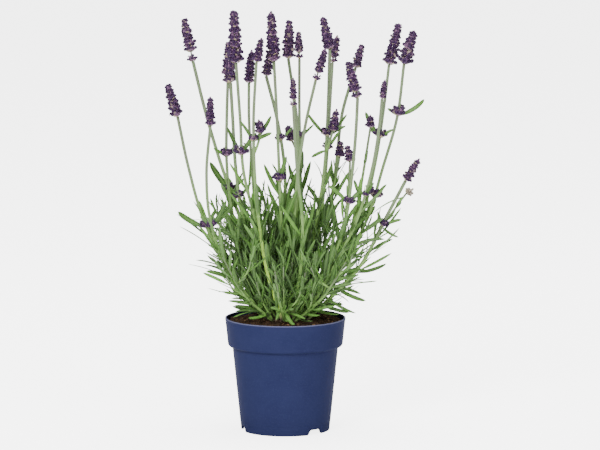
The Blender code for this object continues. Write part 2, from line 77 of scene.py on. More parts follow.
mesh = bpy.data.meshes.new("table")
turns = np.arange(TABLE_SIDES) * math.tau / TABLE_SIDES
corners = [(math.cos(t) * TABLE_RADIUS, math.sin(t) * TABLE_RADIUS, 0) for t in turns]
mesh.from_pydata(corners, [], [tuple(range(TABLE_SIDES))])
table = bpy.data.objects.new("table", mesh)
bpy.context.collection.objects.link(table)
paper = bpy.data.materials.new("table_paper")
paper.use_nodes = True
shader = paper.node_tree.nodes["Principled BSDF"]
shader.inputs["Base Color"].default_value = TABLE_COLOUR
shader.inputs["Roughness"].default_value = 0.9
shader.inputs["Emission Color"].default_value = (1, 1, 1, 1)
seen = paper.node_tree.nodes.new("ShaderNodeLightPath").outputs["Is Camera Ray"]
glow = paper.node_tree.nodes.new("ShaderNodeMath")
glow.operation = "MULTIPLY"
glow.inputs[1].default_value = TABLE_GLOW
paper.node_tree.links.new(seen, glow.inputs[0])
paper.node_tree.links.new(glow.outputs[0], shader.inputs["Emission Strength"])
mesh.materials.append(paper)

world = bpy.data.worlds.new("surround")
world.use_nodes = True
world.node_tree.nodes["Background"].inputs["Color"].default_value = SURROUND
world.node_tree.nodes["Background"].inputs["Strength"].default_value = SURROUND_STRENGTH
bpy.context.scene.world = world

for name, place, size, power in LAMPS:
    light = bpy.data.lights.new(name, "AREA")
    light.shape = "DISK"
    light.size = size
    light.energy = power
    lamp = bpy.data.objects.new(name, light)
    lamp.location = place
    lamp.rotation_euler = (AIM - Vector(place)).to_track_quat("-Z", "Y").to_euler()
    bpy.context.collection.objects.link(lamp)


# ---- Pot ---------------------------------------------------------------------------------------
# A thin dark blue polypropylene nursery pot, injection-moulded: a stacking band under the rim, a
# parting line above the foot, three notches through the foot ring and a raised floor that drains.

MM = 0.001
POT_HEIGHT = 113 * MM
RIM_RADIUS = 60 * MM
BAND_LOW_RADIUS = 57.2 * MM
BAND_BOTTOM = 85 * MM
WALL_TOP_RADIUS = 52.7 * MM
BASE_RADIUS = 44 * MM
WALL = 1.1 * MM
FOOT_RING = 2.5 * MM
FLOOR_LIFT = 5.5 * MM
PAD_RADIUS = 11 * MM
POT_SEGMENTS = 288
FILLET_STEPS = 5
PARTING = 9.4 * MM
STEP = 0.5 * MM
NOTCH_TURNS = [math.radians(-46.5 + 120 * i) for i in range(3)]
NOTCH_HEIGHT = 5 * MM
NOTCH_HALF_WIDTH = 10 * MM
NOTCH_SLOPE = 4 * MM
NOTCH_REACH = 9 * MM
DRAIN_HOLES = 6
DRAIN_RADIUS = 4 * MM
DRAIN_CIRCLE = 28 * MM
DRAIN_SIDES = 28
POT_SHARP = math.radians(32)
POT_BLUE = (0.0175, 0.0215, 0.066, 1)
POT_CLOUD = (0.0235, 0.0285, 0.080, 1)
POT_SCUFF = (0.055, 0.065, 0.135, 1)
# The pale grey-violet of the painted highlight along the rim's lip.
LIP_PAINTED_HIGHLIGHT = (0.20, 0.20, 0.32, 1)


class Skin:
    """Gathers closed tubes, each a stack of rings of points, into the mesh of one piece."""

    def __init__(self):
        self.points, self.faces, self.finishes = [], [], []
        self.marks = {"tone": [], "along": [], "across": [], "under": []}
        self.count = 0

    def tube(self, rings, finish=0, **marks):
        rings = np.asarray(rings, float)
        rows, sides = rings.shape[:2]
        low = self.count + np.arange(rows - 1)[:, None] * sides
        here, after = np.arange(sides)[None], (np.arange(sides)[None] + 1) % sides
        quads = np.stack([low + here, low + after, low + after + sides, low + here + sides], -1)
        caps = [list(range(self.count + sides - 1, self.count - 1, -1))]
        caps += [list(range(self.count + (rows - 1) * sides, self.count + rows * sides))]
        self.faces += quads.reshape(-1, 4).tolist() + caps
        self.finishes += [finish] * (quads.shape[0] * sides + 2)
        self.points.append(rings.reshape(-1, 3))
        for name, gathered in self.marks.items():
            value = np.asarray(marks.get(name, 0.5 if name == "tone" else 0.0), float)
            if value.ndim == 1 and len(value) == rows:
                value = value[:, None]
            gathered.append(np.broadcast_to(value, (rows, sides)).reshape(-1))
        self.count += rows * sides

    def piece(self, name, finishes, sharp=None):
        made = bpy.data.meshes.new(name)
        made.from_pydata(np.concatenate(self.points), [], self.faces)
        for mark, gathered in self.marks.items():
            made.attributes.new(mark, "FLOAT", "POINT").data.foreach_set("value", np.concatenate(gathered))
        made.polygons.foreach_set("material_index", self.finishes)
        made.shade_smooth()
        if sharp:
            made.set_sharp_from_angle(angle=math.radians(sharp))
        for finish in finishes:
            made.materials.append(finish)
        piece = bpy.data.objects.new(name, made)
        bpy.context.collection.objects.link(piece)
        return piece


def round_corners(corners):
    """The corners (radius, height, fillet) of a profile with each one rounded off by its fillet."""
    points = [Vector(corner[:2]) for corner in corners]
    rounded = [points[0]]
    for before, at, after, corner in zip(points, points[1:], points[2:], corners[1:]):
        reach = min(corner[2], (at - before).length * 0.45, (after - at).length * 0.45)
        start = at + (before - at).normalized() * reach
        end = at + (after - at).normalized() * reach
        for t in np.arange(FILLET_STEPS + 1) / FILLET_STEPS:
            rounded.append(start * (1 - t) ** 2 + at * (2 * t * (1 - t)) + end * t**2)
    return rounded + [points[-1]]


def swept(profile, segments):
    """The rings that a profile of (radius, height) points sweeps round the pot's axis."""
    turns = np.arange(segments) * math.tau / segments
    circle = np.stack([np.cos(turns), np.sin(turns), np.zeros(segments)], -1)
    up = np.array((0, 0, 1.0))
    return np.array([circle * point[0] + up * point[1] for point in profile])


rim_inner = RIM_RADIUS - 1.8 * MM
foot_inner = BASE_RADIUS - FOOT_RING
band_inner = BAND_LOW_RADIUS - WALL
wall_inner = WALL_TOP_RADIUS - WALL
floor_top = FLOOR_LIFT + WALL
slope = (WALL_TOP_RADIUS - BASE_RADIUS) / BAND_BOTTOM
pot_corners = [
    (0.5 * MM, 0, 0), (PAD_RADIUS, 0, 1 * MM), (PAD_RADIUS + 4 * MM, FLOOR_LIFT, 1 * MM),
    (foot_inner, FLOOR_LIFT, 0.8 * MM), (foot_inner, 0, 0.5 * MM),
    (BASE_RADIUS, 0, 0.9 * MM),
    (BASE_RADIUS + slope * (PARTING - STEP), PARTING - STEP, 0.1 * MM),
    (BASE_RADIUS + slope * PARTING - 0.12 * MM, PARTING, 0.1 * MM),
    (BASE_RADIUS + slope * (PARTING + STEP) + 0.1 * MM, PARTING + STEP, 0.1 * MM),
    (WALL_TOP_RADIUS, BAND_BOTTOM - 0.75 * MM, 0.7 * MM),
    (BAND_LOW_RADIUS - 1.1 * MM, BAND_BOTTOM, 0.6 * MM), (BAND_LOW_RADIUS, BAND_BOTTOM + 1.5 * MM, 1 * MM),
    (RIM_RADIUS - 0.25 * MM, POT_HEIGHT - 2.4 * MM, 0.3 * MM),
    (RIM_RADIUS, POT_HEIGHT - 2 * MM, 0.4 * MM), (RIM_RADIUS, POT_HEIGHT, 0.5 * MM),
    (rim_inner, POT_HEIGHT, 0.5 * MM), (RIM_RADIUS - WALL - 0.2 * MM, POT_HEIGHT - 2.2 * MM, 0.5 * MM),
    (band_inner, BAND_BOTTOM + 3 * MM, 1 * MM), (wall_inner, BAND_BOTTOM, 1 * MM),
    (BASE_RADIUS - WALL + slope * floor_top, floor_top, 1 * MM),
    (PAD_RADIUS + 4 * MM, floor_top, 1 * MM), (PAD_RADIUS, WALL, 1 * MM), (0.5 * MM, WALL, 0),
]
pot_rings = swept(round_corners(pot_corners), POT_SEGMENTS)
turns = np.arange(POT_SEGMENTS) * math.tau / POT_SEGMENTS
notch = np.zeros(POT_SEGMENTS)
for turn in NOTCH_TURNS:
    away = np.abs((turns - turn + math.pi) % math.tau - math.pi) * BASE_RADIUS
    rise = np.clip((NOTCH_HALF_WIDTH - away) / NOTCH_SLOPE, 0, 1)
    notch = np.maximum(notch, rise * rise * (3 - 2 * rise) * NOTCH_HEIGHT)
radii = np.linalg.norm(pot_rings[..., :2], axis=2)
heights = pot_rings[..., 2]
in_foot = (radii > foot_inner - 0.4 * MM) & (heights < min(NOTCH_REACH, floor_top + 3 * MM))
reach = np.where(radii < foot_inner + 0.6 * MM, FLOOR_LIFT, NOTCH_REACH)
share = np.clip(1 - heights / reach, 0, 1)
pot_rings[..., 2] += np.where(in_foot, share * notch[None], 0)

skin = Skin()
skin.tube(pot_rings)
pot = skin.piece("nursery_pot", [])

hole_skin = Skin()
for i in range(DRAIN_HOLES):
    turn = NOTCH_TURNS[0] + math.tau * (i + 0.5) / DRAIN_HOLES
    hole = swept([(DRAIN_RADIUS, 2 * MM), (DRAIN_RADIUS, 12 * MM)], DRAIN_SIDES)
    hole_skin.tube(hole + np.array((math.cos(turn), math.sin(turn), 0)) * DRAIN_CIRCLE)
holes = hole_skin.piece("drain_holes", [])
cut = pot.modifiers.new("drain", "BOOLEAN")
cut.object = holes
cut.solver = "EXACT"
drained = bpy.data.meshes.new_from_object(pot.evaluated_get(bpy.context.evaluated_depsgraph_get()))
pot.modifiers.clear()
pot.data = drained
bpy.data.objects.remove(holes)
drained.shade_smooth()
drained.set_sharp_from_angle(angle=POT_SHARP)


def feed(tree, socket, value):
    """Links a socket to another node's output, or gives it a plain value."""
    if isinstance(value, bpy.types.NodeSocket):
        tree.links.new(value, socket)
    else:
        socket.default_value = value


def add_node(tree, kind, settings=(), **inputs):
    """Adds a node with these settings and feeds its inputs."""
    made = tree.nodes.new(kind)
    for name, value in dict(settings).items():
        setattr(made, name, value)
    for name, value in inputs.items():
        feed(tree, made.inputs[name.replace("_", " ")], value)
    return made


def sum_up(tree, operation, first, second=0.0):
    """A Math node's output."""
    made = tree.nodes.new("ShaderNodeMath")
    made.operation = operation
    for socket, value in zip(made.inputs, (first, second)):
        feed(tree, socket, value)
    return made.outputs[0]


def mix_colours(tree, share, first, second):
    """The first colour with this share of the second mixed in."""
    made = tree.nodes.new("ShaderNodeMix")
    made.data_type = "RGBA"
    for socket, value in zip((made.inputs[0], made.inputs[6], made.inputs[7]), (share, first, second)):
        feed(tree, socket, value)
    return made.outputs[2]


def spread(tree, value, low, high, to_low=0.0, to_high=1.0):
    """A value from low to high spread over the range from to_low to to_high."""
    made = add_node(tree, "ShaderNodeMapRange", Value=value)
    for name, number in (("From Min", low), ("From Max", high), ("To Min", to_low), ("To Max", to_high)):
        made.inputs[name].default_value = number
    return made.outputs["Result"]


def group_with(name, inputs, outputs):
    """A shader node group with these sockets, and its input and output nodes."""
    tree = bpy.data.node_groups.new(name, "ShaderNodeTree")
    for label, kind, value in inputs:
        socket = tree.interface.new_socket(label, in_out="INPUT", socket_type=kind)
        socket.default_value = value
    for label, kind in outputs:
        tree.interface.new_socket(label, in_out="OUTPUT", socket_type=kind)
    return tree, tree.nodes.new("NodeGroupInput"), tree.nodes.new("NodeGroupOutput")


# Mottle: soft uneven patches, from 0 to 1, for anything grown or worn unevenly.
mottle, taken, given = group_with(
    "mottle",
    [("Scale", "NodeSocketFloat", 100.0), ("Contrast", "NodeSocketFloat", 1.0)],
    [("Value", "NodeSocketFloat")],
)
place = mottle.nodes.new("ShaderNodeTexCoord").outputs["Object"]
broad = add_node(
    mottle, "ShaderNodeTexNoise", Vector=place, Scale=taken.outputs["Scale"], Detail=5.0, Roughness=0.6
)
centred = sum_up(mottle, "SUBTRACT", broad.outputs["Fac"], 0.5)
stretched = sum_up(mottle, "MULTIPLY", centred, sum_up(mottle, "MULTIPLY", taken.outputs["Contrast"], 2.2))
clean = sum_up(mottle, "ADD", stretched, 0.5)
clean.node.use_clamp = True
mottle.links.new(clean, given.inputs["Value"])


def new_finish(name, roughness, **sockets):
    """A material, its node tree and its Principled shader with these plain values."""
    made = bpy.data.materials.new(name)
    made.use_nodes = True
    shader = made.node_tree.nodes["Principled BSDF"]
    shader.inputs["Roughness"].default_value = roughness
    for label, value in sockets.items():
        shader.inputs[label.replace("_", " ")].default_value = value
    return made, made.node_tree, shader


def place_group(tree, group, **inputs):
    """The outputs of a node group that is placed in a material."""
    return add_node(tree, "ShaderNodeGroup", {"node_tree": group}, **inputs).outputs


def mark(tree, name):
    """The value that each point of a mesh carries under this name."""
    return add_node(tree, "ShaderNodeAttribute", {"attribute_name": name}).outputs["Fac"]


def dress(tree, shader, colour, height, strength, depth):
    """Gives a shader its colour and a surface raised by the height, at most by the depth."""
    bump = add_node(tree, "ShaderNodeBump", Strength=strength, Distance=depth, Height=height)
    tree.links.new(colour, shader.inputs["Base Color"])
    tree.links.new(bump.outputs["Normal"], shader.inputs["Normal"])


blue_plastic, tree, shader = new_finish("blue_plastic", 0.5, IOR=1.06)
blotch = place_group(tree, mottle, Scale=38.0, Contrast=0.9)["Value"]
scuffs = place_group(tree, mottle, Scale=900.0, Contrast=1.8)["Value"]
place = tree.nodes.new("ShaderNodeTexCoord").outputs["Object"]
up = add_node(tree, "ShaderNodeSeparateXYZ", Vector=place)
# The top of the rim is mixed towards a pale grey-violet: a painted highlight along the lip.
near_lip = spread(tree, up.outputs["Z"], POT_HEIGHT - 1.2 * MM, POT_HEIGHT - 0.2 * MM)
scuffed = mix_colours(tree, spread(tree, scuffs, 0.6, 1.0, 0.0, 0.16), POT_BLUE, POT_SCUFF)
cloudy = mix_colours(tree, sum_up(tree, "MULTIPLY", blotch, 0.8), scuffed, POT_CLOUD)
lip_with_painted_highlight = mix_colours(tree, sum_up(tree, "MULTIPLY", near_lip, 0.55), cloudy, LIP_PAINTED_HIGHLIGHT)
peel = add_node(tree, "ShaderNodeTexNoise", Scale=1400.0, Detail=2.0, Vector=place)
dress(tree, shader, lip_with_painted_highlight, peel.outputs["Fac"], 0.08, 0.3 * MM)
tree.links.new(spread(tree, scuffs, 0, 1, 0.36, 0.52), shader.inputs["Roughness"])
drained.materials.append(blue_plastic)
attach(pot, "root")
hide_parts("pot")


# ---- Compost -----------------------------------------------------------------------------------
# Moist peat, filled to just under the rim and heaped a little round the plant. Its top is rough
# with crumbs, bits of bark and root fibres.

SOIL_EDGE = POT_HEIGHT - 4.5 * MM
SOIL_MOUND = 3.5 * MM
SOIL_RADIUS = RIM_RADIUS - 2.2 * MM
SOIL_GAP = 0.3 * MM
SOIL_SIDES = 200
SOIL_ROWS = 84
HEAP_X = 38 * MM
HEAP_Y = 16 * MM
HEAP_RADIUS = 13 * MM
HEAP_HEIGHT = 2.4 * MM
CRUMBS = 1500
FIBRES = 150
PEAT_DARK = (0.019, 0.010, 0.005, 1)
PEAT_BROWN = (0.088, 0.044, 0.021, 1)
BARK_BIT = (0.21, 0.12, 0.06, 1)


def lumpy(x, y, size, seed):
    """Smooth unevenness from about -1 to 1, with lumps of this size."""
    return noise.noise(Vector((x / size, y / size, seed)))


def soil_top(x, y):
    """The height of the compost's surface, with its heaps and lumps."""
    share = min(math.hypot(x, y) / SOIL_RADIUS, 1)
    smooth = SOIL_EDGE + SOIL_MOUND * (1 - share**2)
    heap = HEAP_HEIGHT * math.exp(-((x - HEAP_X) ** 2 + (y - HEAP_Y) ** 2) / HEAP_RADIUS**2)
    lumps = 1.5 * lumpy(x, y, 9 * MM, 1.3) + 0.8 * lumpy(x, y, 3.4 * MM, 4.1)
    lumps += 0.4 * lumpy(x, y, 1.5 * MM, 7.7)
    return smooth + heap * (1 - share**6) + lumps * MM


soil_turns = np.arange(SOIL_SIDES) * math.tau / SOIL_SIDES
soil_rings = []
for radius, height in (
    (0.5 * MM, WALL + SOIL_GAP), (PAD_RADIUS, WALL + SOIL_GAP),
    (PAD_RADIUS + 4 * MM, floor_top + SOIL_GAP), (BASE_RADIUS - WALL, floor_top + SOIL_GAP),
    (wall_inner - SOIL_GAP, BAND_BOTTOM), (band_inner - SOIL_GAP, BAND_BOTTOM + 4 * MM),
    (SOIL_RADIUS, SOIL_EDGE - 3 * MM),
):
    soil_rings.append([(radius * math.cos(t), radius * math.sin(t), height) for t in soil_turns])
for share in np.linspace(1, 0.004, SOIL_ROWS):
    ring = [(SOIL_RADIUS * share * math.cos(t), SOIL_RADIUS * share * math.sin(t)) for t in soil_turns]
    soil_rings.append([(x, y, soil_top(x, y)) for x, y in ring])
skin = Skin()
skin.tube(soil_rings)

peat, tree, shader = new_finish("peat_compost", 0.95, Specular_IOR_Level=0.25)
grains = place_group(tree, mottle, Scale=520.0, Contrast=1.6)["Value"]
patches = place_group(tree, mottle, Scale=90.0, Contrast=1.3)["Value"]
tone = mark(tree, "tone")
dusk = mix_colours(tree, patches, PEAT_DARK, PEAT_BROWN)
grainy = mix_colours(tree, sum_up(tree, "MULTIPLY", grains, 0.55), dusk, PEAT_DARK)
barky = mix_colours(tree, spread(tree, tone, 0.8, 1.0), grainy, BARK_BIT)
dress(tree, shader, barky, grains, 0.9, 0.8 * MM)
soil = skin.piece("compost", [peat])
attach(soil, "root")
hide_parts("soil")


def unit(vectors):
    """The vectors, each scaled to a length of 1."""
    vectors = np.asarray(vectors, float)
    return vectors / np.linalg.norm(vectors, axis=-1, keepdims=True)


def beside(along):
    """Two unit directions square to each direction in along and to each other."""
    along = np.asarray(along, float)
    side = unit(np.cross(along, (0.05, 1.0, 0.12)))
    return side, np.cross(side, along)


def rings_about(middles, along, radii, sides, turn=0.0):
    """Round rings square to a line: one for each of its points."""
    middles = np.asarray(middles, float)
    side, over = beside(np.broadcast_to(along, middles.shape))
    turns = turn + np.arange(sides) * math.tau / sides
    reach = np.cos(turns)[None, :, None] * side[:, None] + np.sin(turns)[None, :, None] * over[:, None]
    return middles[:, None] + reach * np.asarray(radii)[:, None, None]


rng = random.Random(11)
skin = Skin()
for i in range(CRUMBS):
    size = rng.choice((0.35, 0.5, 0.5, 0.7, 0.9, 1.3)) * rng.uniform(0.7, 1.3) * MM
    radius = math.sqrt(rng.random()) * (SOIL_RADIUS - 1.6 * MM)
    turn = rng.random() * math.tau
    x, y = radius * math.cos(turn), radius * math.sin(turn)
    middle = np.array((x, y, soil_top(x, y) + size * 0.25))
    along = unit([rng.gauss(0, 1), rng.gauss(0, 1), rng.gauss(0, 0.6)])
    steps = np.array((-0.9, -0.45, 0.3, 0.85))[:, None] * along * size * rng.uniform(0.8, 1.6)
    girth = np.array((0.4, 0.95, 0.9, 0.35)) * size
    rings = rings_about(middle + steps, along, girth, 6, rng.random())
    knocks = [rng.uniform(-0.22, 0.22) * size for _ in range(rings.size)]
    rings += np.reshape(knocks, rings.shape)
    skin.tube(rings, tone=rng.random())
for i in range(FIBRES):
    radius = math.sqrt(rng.random()) * (SOIL_RADIUS - 7 * MM)
    turn, heading = rng.random() * math.tau, rng.random() * math.tau
    length = rng.uniform(3, 9) * MM
    shares = np.linspace(-0.5, 0.5, 6)
    curl = rng.uniform(-1.5, 1.5)
    xs = radius * math.cos(turn) + length * shares * np.cos(heading + curl * shares)
    ys = radius * math.sin(turn) + length * shares * np.sin(heading + curl * shares)
    zs = [soil_top(x, y) + 0.4 * MM for x, y in zip(xs, ys)]
    middles = np.stack([xs, ys, zs], -1)
    along = unit(np.gradient(middles, axis=0))
    girth = np.full(6, rng.uniform(0.12, 0.3) * MM)
    skin.tube(rings_about(middles, along, girth, 4), tone=rng.uniform(0.6, 1.0))
crumbs = skin.piece("compost_crumbs", [peat], sharp=40)
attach(crumbs, "root")


# ---- Woody crown -------------------------------------------------------------------------------
# The plant's short old wood, half sunk in the compost: a knotty grey-brown base that every stem
# grows from, with split, stringy bark.

CROWN_RADIUS = 27 * MM
CROWN_FOOT_RADIUS = 24 * MM
CROWN_RISE = 5 * MM
CROWN_SINK = 6 * MM
CROWN_SIDES = 96
CROWN_ROWS = 34
BARK_DARK = (0.045, 0.030, 0.018, 1)
BARK_GREY = (0.16, 0.12, 0.085, 1)


def crown_top(x, y):
    """The height of the crown's top, before its knots."""
    share = min(math.hypot(x, y) / CROWN_RADIUS, 1)
    edge = SOIL_EDGE + SOIL_MOUND * (1 - (CROWN_RADIUS / SOIL_RADIUS) ** 2)
    return edge + CROWN_RISE * (1 - share**2)


crown_turns = np.arange(CROWN_SIDES) * math.tau / CROWN_SIDES
crown_foot = [(CROWN_FOOT_RADIUS * math.cos(t), CROWN_FOOT_RADIUS * math.sin(t)) for t in crown_turns]
crown_rings = [[(x, y, SOIL_EDGE - CROWN_SINK) for x, y in crown_foot]]
for share in np.linspace(1, 0.01, CROWN_ROWS):
    ring = []
    for t in crown_turns:
        reach = CROWN_RADIUS * share * (0.9 + 0.1 * math.sin(5 * t + 1) * share)
        x, y = reach * math.cos(t), reach * math.sin(t)
        knots = 1.6 * lumpy(x, y, 7 * MM, 2.2) + 0.7 * lumpy(x, y, 2.6 * MM, 5.9) - 1.2
        ring.append((x, y, crown_top(x, y) + knots * MM - 2.2 * MM * share**4))
    crown_rings.append(ring)
skin = Skin()
skin.tube(crown_rings)

old_wood, tree, shader = new_finish("old_wood", 0.9, Specular_IOR_Level=0.2)
strips = place_group(tree, mottle, Scale=260.0, Contrast=1.8)["Value"]
dress(tree, shader, mix_colours(tree, strips, BARK_DARK, BARK_GREY), strips, 0.8, 0.8 * MM)
crown = skin.piece("woody_crown_wood", [old_wood])
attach(crown, "root")
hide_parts("woody_crown")


# ---- Flower stems ------------------------------------------------------------------------------
# Square, finely grooved stems with opposite pairs of narrow grey-green leaves, each pair turned a
# quarter from the one below, and tufts of young leaves in their axils. All are downy.

# Where each stem's foot stands, how far it has bent sideways at each 50 mm of height, the neck
# that carries its spike and the spike's tip, the spike's radius, the bare length above its lowest
# ring of flowers, and the heights of rings lower down. In millimetres from the rim's centre.
STEMS = (
    ((-12, 0), (-24, -46, -64, -79), (-92, 36, 252), (-101, 42, 295), 5.8, 8, (125,)),
    ((-20, -2), (-57, -81, -95), (-106, -20, 203), (-116, -24, 236), 5.8, 0, (93,)),
    ((-18, -12), (-55, -73, -77), (-73, -60, 198), (-73, -62, 228), 4.5, 0, (97,)),
    ((-6, -11), (-15, -29, -41, -44), (-48, -40, 258), (-50, -46, 311), 6.8, 0, (168,)),
    ((-15, 6), (-35, -52, -58, -58), (-57, 12, 233), (-56, 11, 275), 5.8, 5, (161,)),
    ((-11, -6.5), (-27, -42, -49, -52), (-54, -4, 235), (-53, -3, 269), 5.0, 0, (121,)),
    ((-3.5, -18), (-18, -26, -30, -31), (-28, -44, 259), (-23, -46, 284), 4.5, 0, (182,)),
    ((-7, 0), (-20, -29, -33, -36), (-36, 8, 233), (-33, 9, 267), 5.2, 0, ()),
    ((0.5, -7), (-2, -4, -6, -8), (-11, -24, 258), (-14, -30, 309), 6.2, 0, (140,)),
    ((-6, 7), (1, 0, -1, -9), (-19, 20, 239), (-15, 19, 265), 4.8, 0, (176,)),
    ((1, 1), (8, 11, 13, 11), (3, 14, 257), (4, 15, 296), 5.8, 0, ()),
    ((3.5, 12), (11, 15, 15, 14), (14, 60, 252), (13, 62, 280), 4.3, 4, (175,)),
    ((6.5, -13), (15, 17, 12, 9), (8, -66, 218), (8, -68, 247), 3.8, 5, ()),
    ((13, 2), (23, 32, 39, 42), (44, 4, 267), (37, 6, 300), 5.5, 0, (182,)),
    ((11, 11), (28, 36, 41, 44), (47, 44, 250), (52, 46, 278), 4.7, 3, (165,)),
    ((7, -4.5), (7, 9, 13, 21), (30, -22, 239), (40, -24, 272), 4.6, 6, ()),
    ((17, 12), (34, 44, 51, 57), (70, 50, 244), (77, 53, 268), 4.8, 0, ()),
    ((13.5, -10), (42, 59, 66, 70), (71, -44, 224), (61, -40, 260), 5.4, 4, (119,)),
    ((19.5, 4), (51, 76, 89, 97), (103, 22, 250), (113, 24, 292), 6.2, 0, (179,)),
    ((22, -4), (56, 81, 96, 110), (117, -18, 255), (127, -20, 289), 6.6, 0, (205, 123)),
    ((17, -17), (46, 70, 85, 93), (95, -36, 222), (98, -38, 242), 3.4, 0, (126,)),
    ((21.5, -12), (72, 99), (119, -10, 138), (133, -12, 161), 4.6, 0, (94,)),
)
BEND_STEP = 50
STEM_BOW = 0.75
STEM_FOOT = 1.85 * MM
STEM_NECK = 1.85 * MM
STEM_SIDES = 16
STEM_SQUARE = 5
NODE_SWELLING = 0.28
LEAF_SHADE = 0.46
FRONT_STEM = 7
FRONT_STEM_BARE = 66 * MM

# Leaves that stand out, most of them at a ring of flowers. For each stem's number: the height, and
# how far to the side, back and up the leaf's tip is from there, the leaf's width and its sag.
RING_LEAVES = {
    1: ((125, -20, -4, 30, 6.5, -0.5), (125, 14, 6, 12, 3.4, 0.4), (50, -26, 6, 14, 4.0, 0.7)),
    2: ((93, -28, -6, 17, 5.6, -0.9), (93, 10, -8, 20, 3.6, 0.4), (38, -31, -4, 11, 4.6, 0.9),
        (8, -28, 2, 5, 3.6, -0.6)),
    3: ((97, 14, -4, 27, 5.0, -0.4), (97, 20, 6, 20, 5.0, 0.4), (97, 22, 2, -10, 4.4, 0.7),
        (97, -12, 6, 10, 3.0, 0.5), (10, -26, -4, 6, 3.8, 0.7)),
    4: ((168, 15, -6, 23, 4.2, 0.8), (168, -14, 4, 27, 4.0, -0.6)),
    5: ((161, -13, -4, 9, 3.2, 0.5), (161, 10, 4, 12, 2.6, 0.4)),
    6: ((121, 12, 4, 16, 3.0, 0.4), (121, -10, -6, 13, 3.0, 0.4)),
    7: ((182, -13, 2, 20, 3.4, 0.5), (182, 17, -4, 26, 3.8, -0.8), (182, 18, 4, 8, 4.2, 0.6)),
    9: ((124, -16, -6, 34, 4.6, -0.3), (140, 7, -8, 26, 4.0, 0.3), (92, 16, -8, 40, 4.6, 0.4)),
    10: ((176, 11, 2, 13, 2.6, 0.3), (102, -10, -6, 44, 4.8, 0.4), (112, 14, -4, 38, 4.6, 0.5)),
    12: ((175, 14, 0, 14, 3.2, 0.4), (110, -12, -6, 42, 4.6, -0.4), (118, 10, -6, 36, 4.4, 0.4)),
    14: ((182, -20, -2, 25, 3.6, -0.5), (182, 19, -4, 11, 4.4, 0.7), (182, 20, 4, 22, 3.0, -0.5)),
    15: ((165, -16, 2, -8, 3.2, 0.6), (165, 12, 4, 18, 3.0, 0.4)),
    17: ((40, 26, 4, -6, 3.6, 0.8),),
    18: ((119, -20, -4, 19, 4.2, 0.8), (119, 13, 3, 13, 4.6, 1.0), (22, 38, -8, -12, 3.8, -0.7)),
    19: ((179, -14, 0, 26, 4.4, -0.9), (179, 14, -3, 9, 3.8, 0.8), (179, -10, 6, 8, 3.0, 0.6),
        (32, 36, 2, -9, 3.6, 0.8)),
    20: ((205, 26, -2, 17, 4.6, -1.3), (205, -10, 2, 7, 3.0, 0.5), (123, 12, -6, 14, 3.0, 0.4),
        (123, -9, 5, 12, 3.0, 0.4), (36, 34, -4, -16, 4.0, -1.0), (46, 27, -6, 5, 4.0, 0.8)),
    21: ((126, -10, -6, 13, 3.0, 0.4), (126, 9, -6, 15, 3.0, 0.4), (30, 36, -6, -20, 3.8, -0.9)),
    22: ((94, 17, -4, -10, 3.4, -0.9), (94, 20, 5, 6, 3.4, 0.8), (94, -4, -8, 16, 3.0, 0.4),
        (48, 31, 2, 9, 4.2, -0.9), (68, 24, 3, 13, 4.0, 0.8)),
}

LEAF_DARK = (0.007, 0.028, 0.003, 1)
LEAF_LIGHT = (0.140, 0.345, 0.045, 1)
LEAF_UNDER = (0.130, 0.240, 0.078, 1)
LEAF_RIB = (0.230, 0.410, 0.095, 1)
STEM_GREEN = (0.180, 0.350, 0.070, 1)
STEM_GREY = (0.125, 0.165, 0.095, 1)
STEM_PURPLE = (0.100, 0.078, 0.080, 1)
STEM_LIME = (0.470, 0.780, 0.085, 1)
DOWN = (0.40, 0.50, 0.32, 1)


# The places of the finishes in a stem piece's list.
STEM, LEAF = range(2)


class Line:
    """A smooth curve that only rises, through the points given, measured along by height."""

    def __init__(self, points):
        self.points = np.array(points, float)
        self.heights = self.points[:, 2]
        self.low, self.high = self.heights[0], self.heights[-1]
        self.slopes = np.gradient(self.points, self.heights, axis=0)

    def at(self, height):
        height = np.asarray(height, float)
        i = np.clip(np.searchsorted(self.heights, height) - 1, 0, len(self.heights) - 2)
        span = (self.heights[i + 1] - self.heights[i])[..., None]
        t = (height - self.heights[i])[..., None] / span
        blend = (2 * t**3 - 3 * t**2 + 1) * self.points[i] + (t**3 - 2 * t**2 + t) * span * self.slopes[i]
        return blend + (3 * t**2 - 2 * t**3) * self.points[i + 1] + (t**3 - t**2) * span * self.slopes[i + 1]

    def along(self, height):
        return unit(self.at(height + 0.4 * MM) - self.at(height - 0.4 * MM))


def from_rim(x, y, z):
    """A place given in millimetres from the middle of the pot's rim."""
    return np.array((x * MM, y * MM, POT_HEIGHT + z * MM))


def stem_line(foot, bends, neck):
    """The line of a flower stem from its foot on the crown to its neck."""
    x, y = foot[0] * MM, foot[1] * MM
    start = np.array((x, y, crown_top(x, y)))
    end = from_rim(*neck)
    points = [start]
    for i, bend in enumerate(bends):
        height = POT_HEIGHT + (i + 1) * BEND_STEP * MM
        rise = (height - start[2]) / (end[2] - start[2])
        points.append((bend * MM, y + (end[1] - y) * rise**STEM_BOW, height))
    return Line(points + [end])


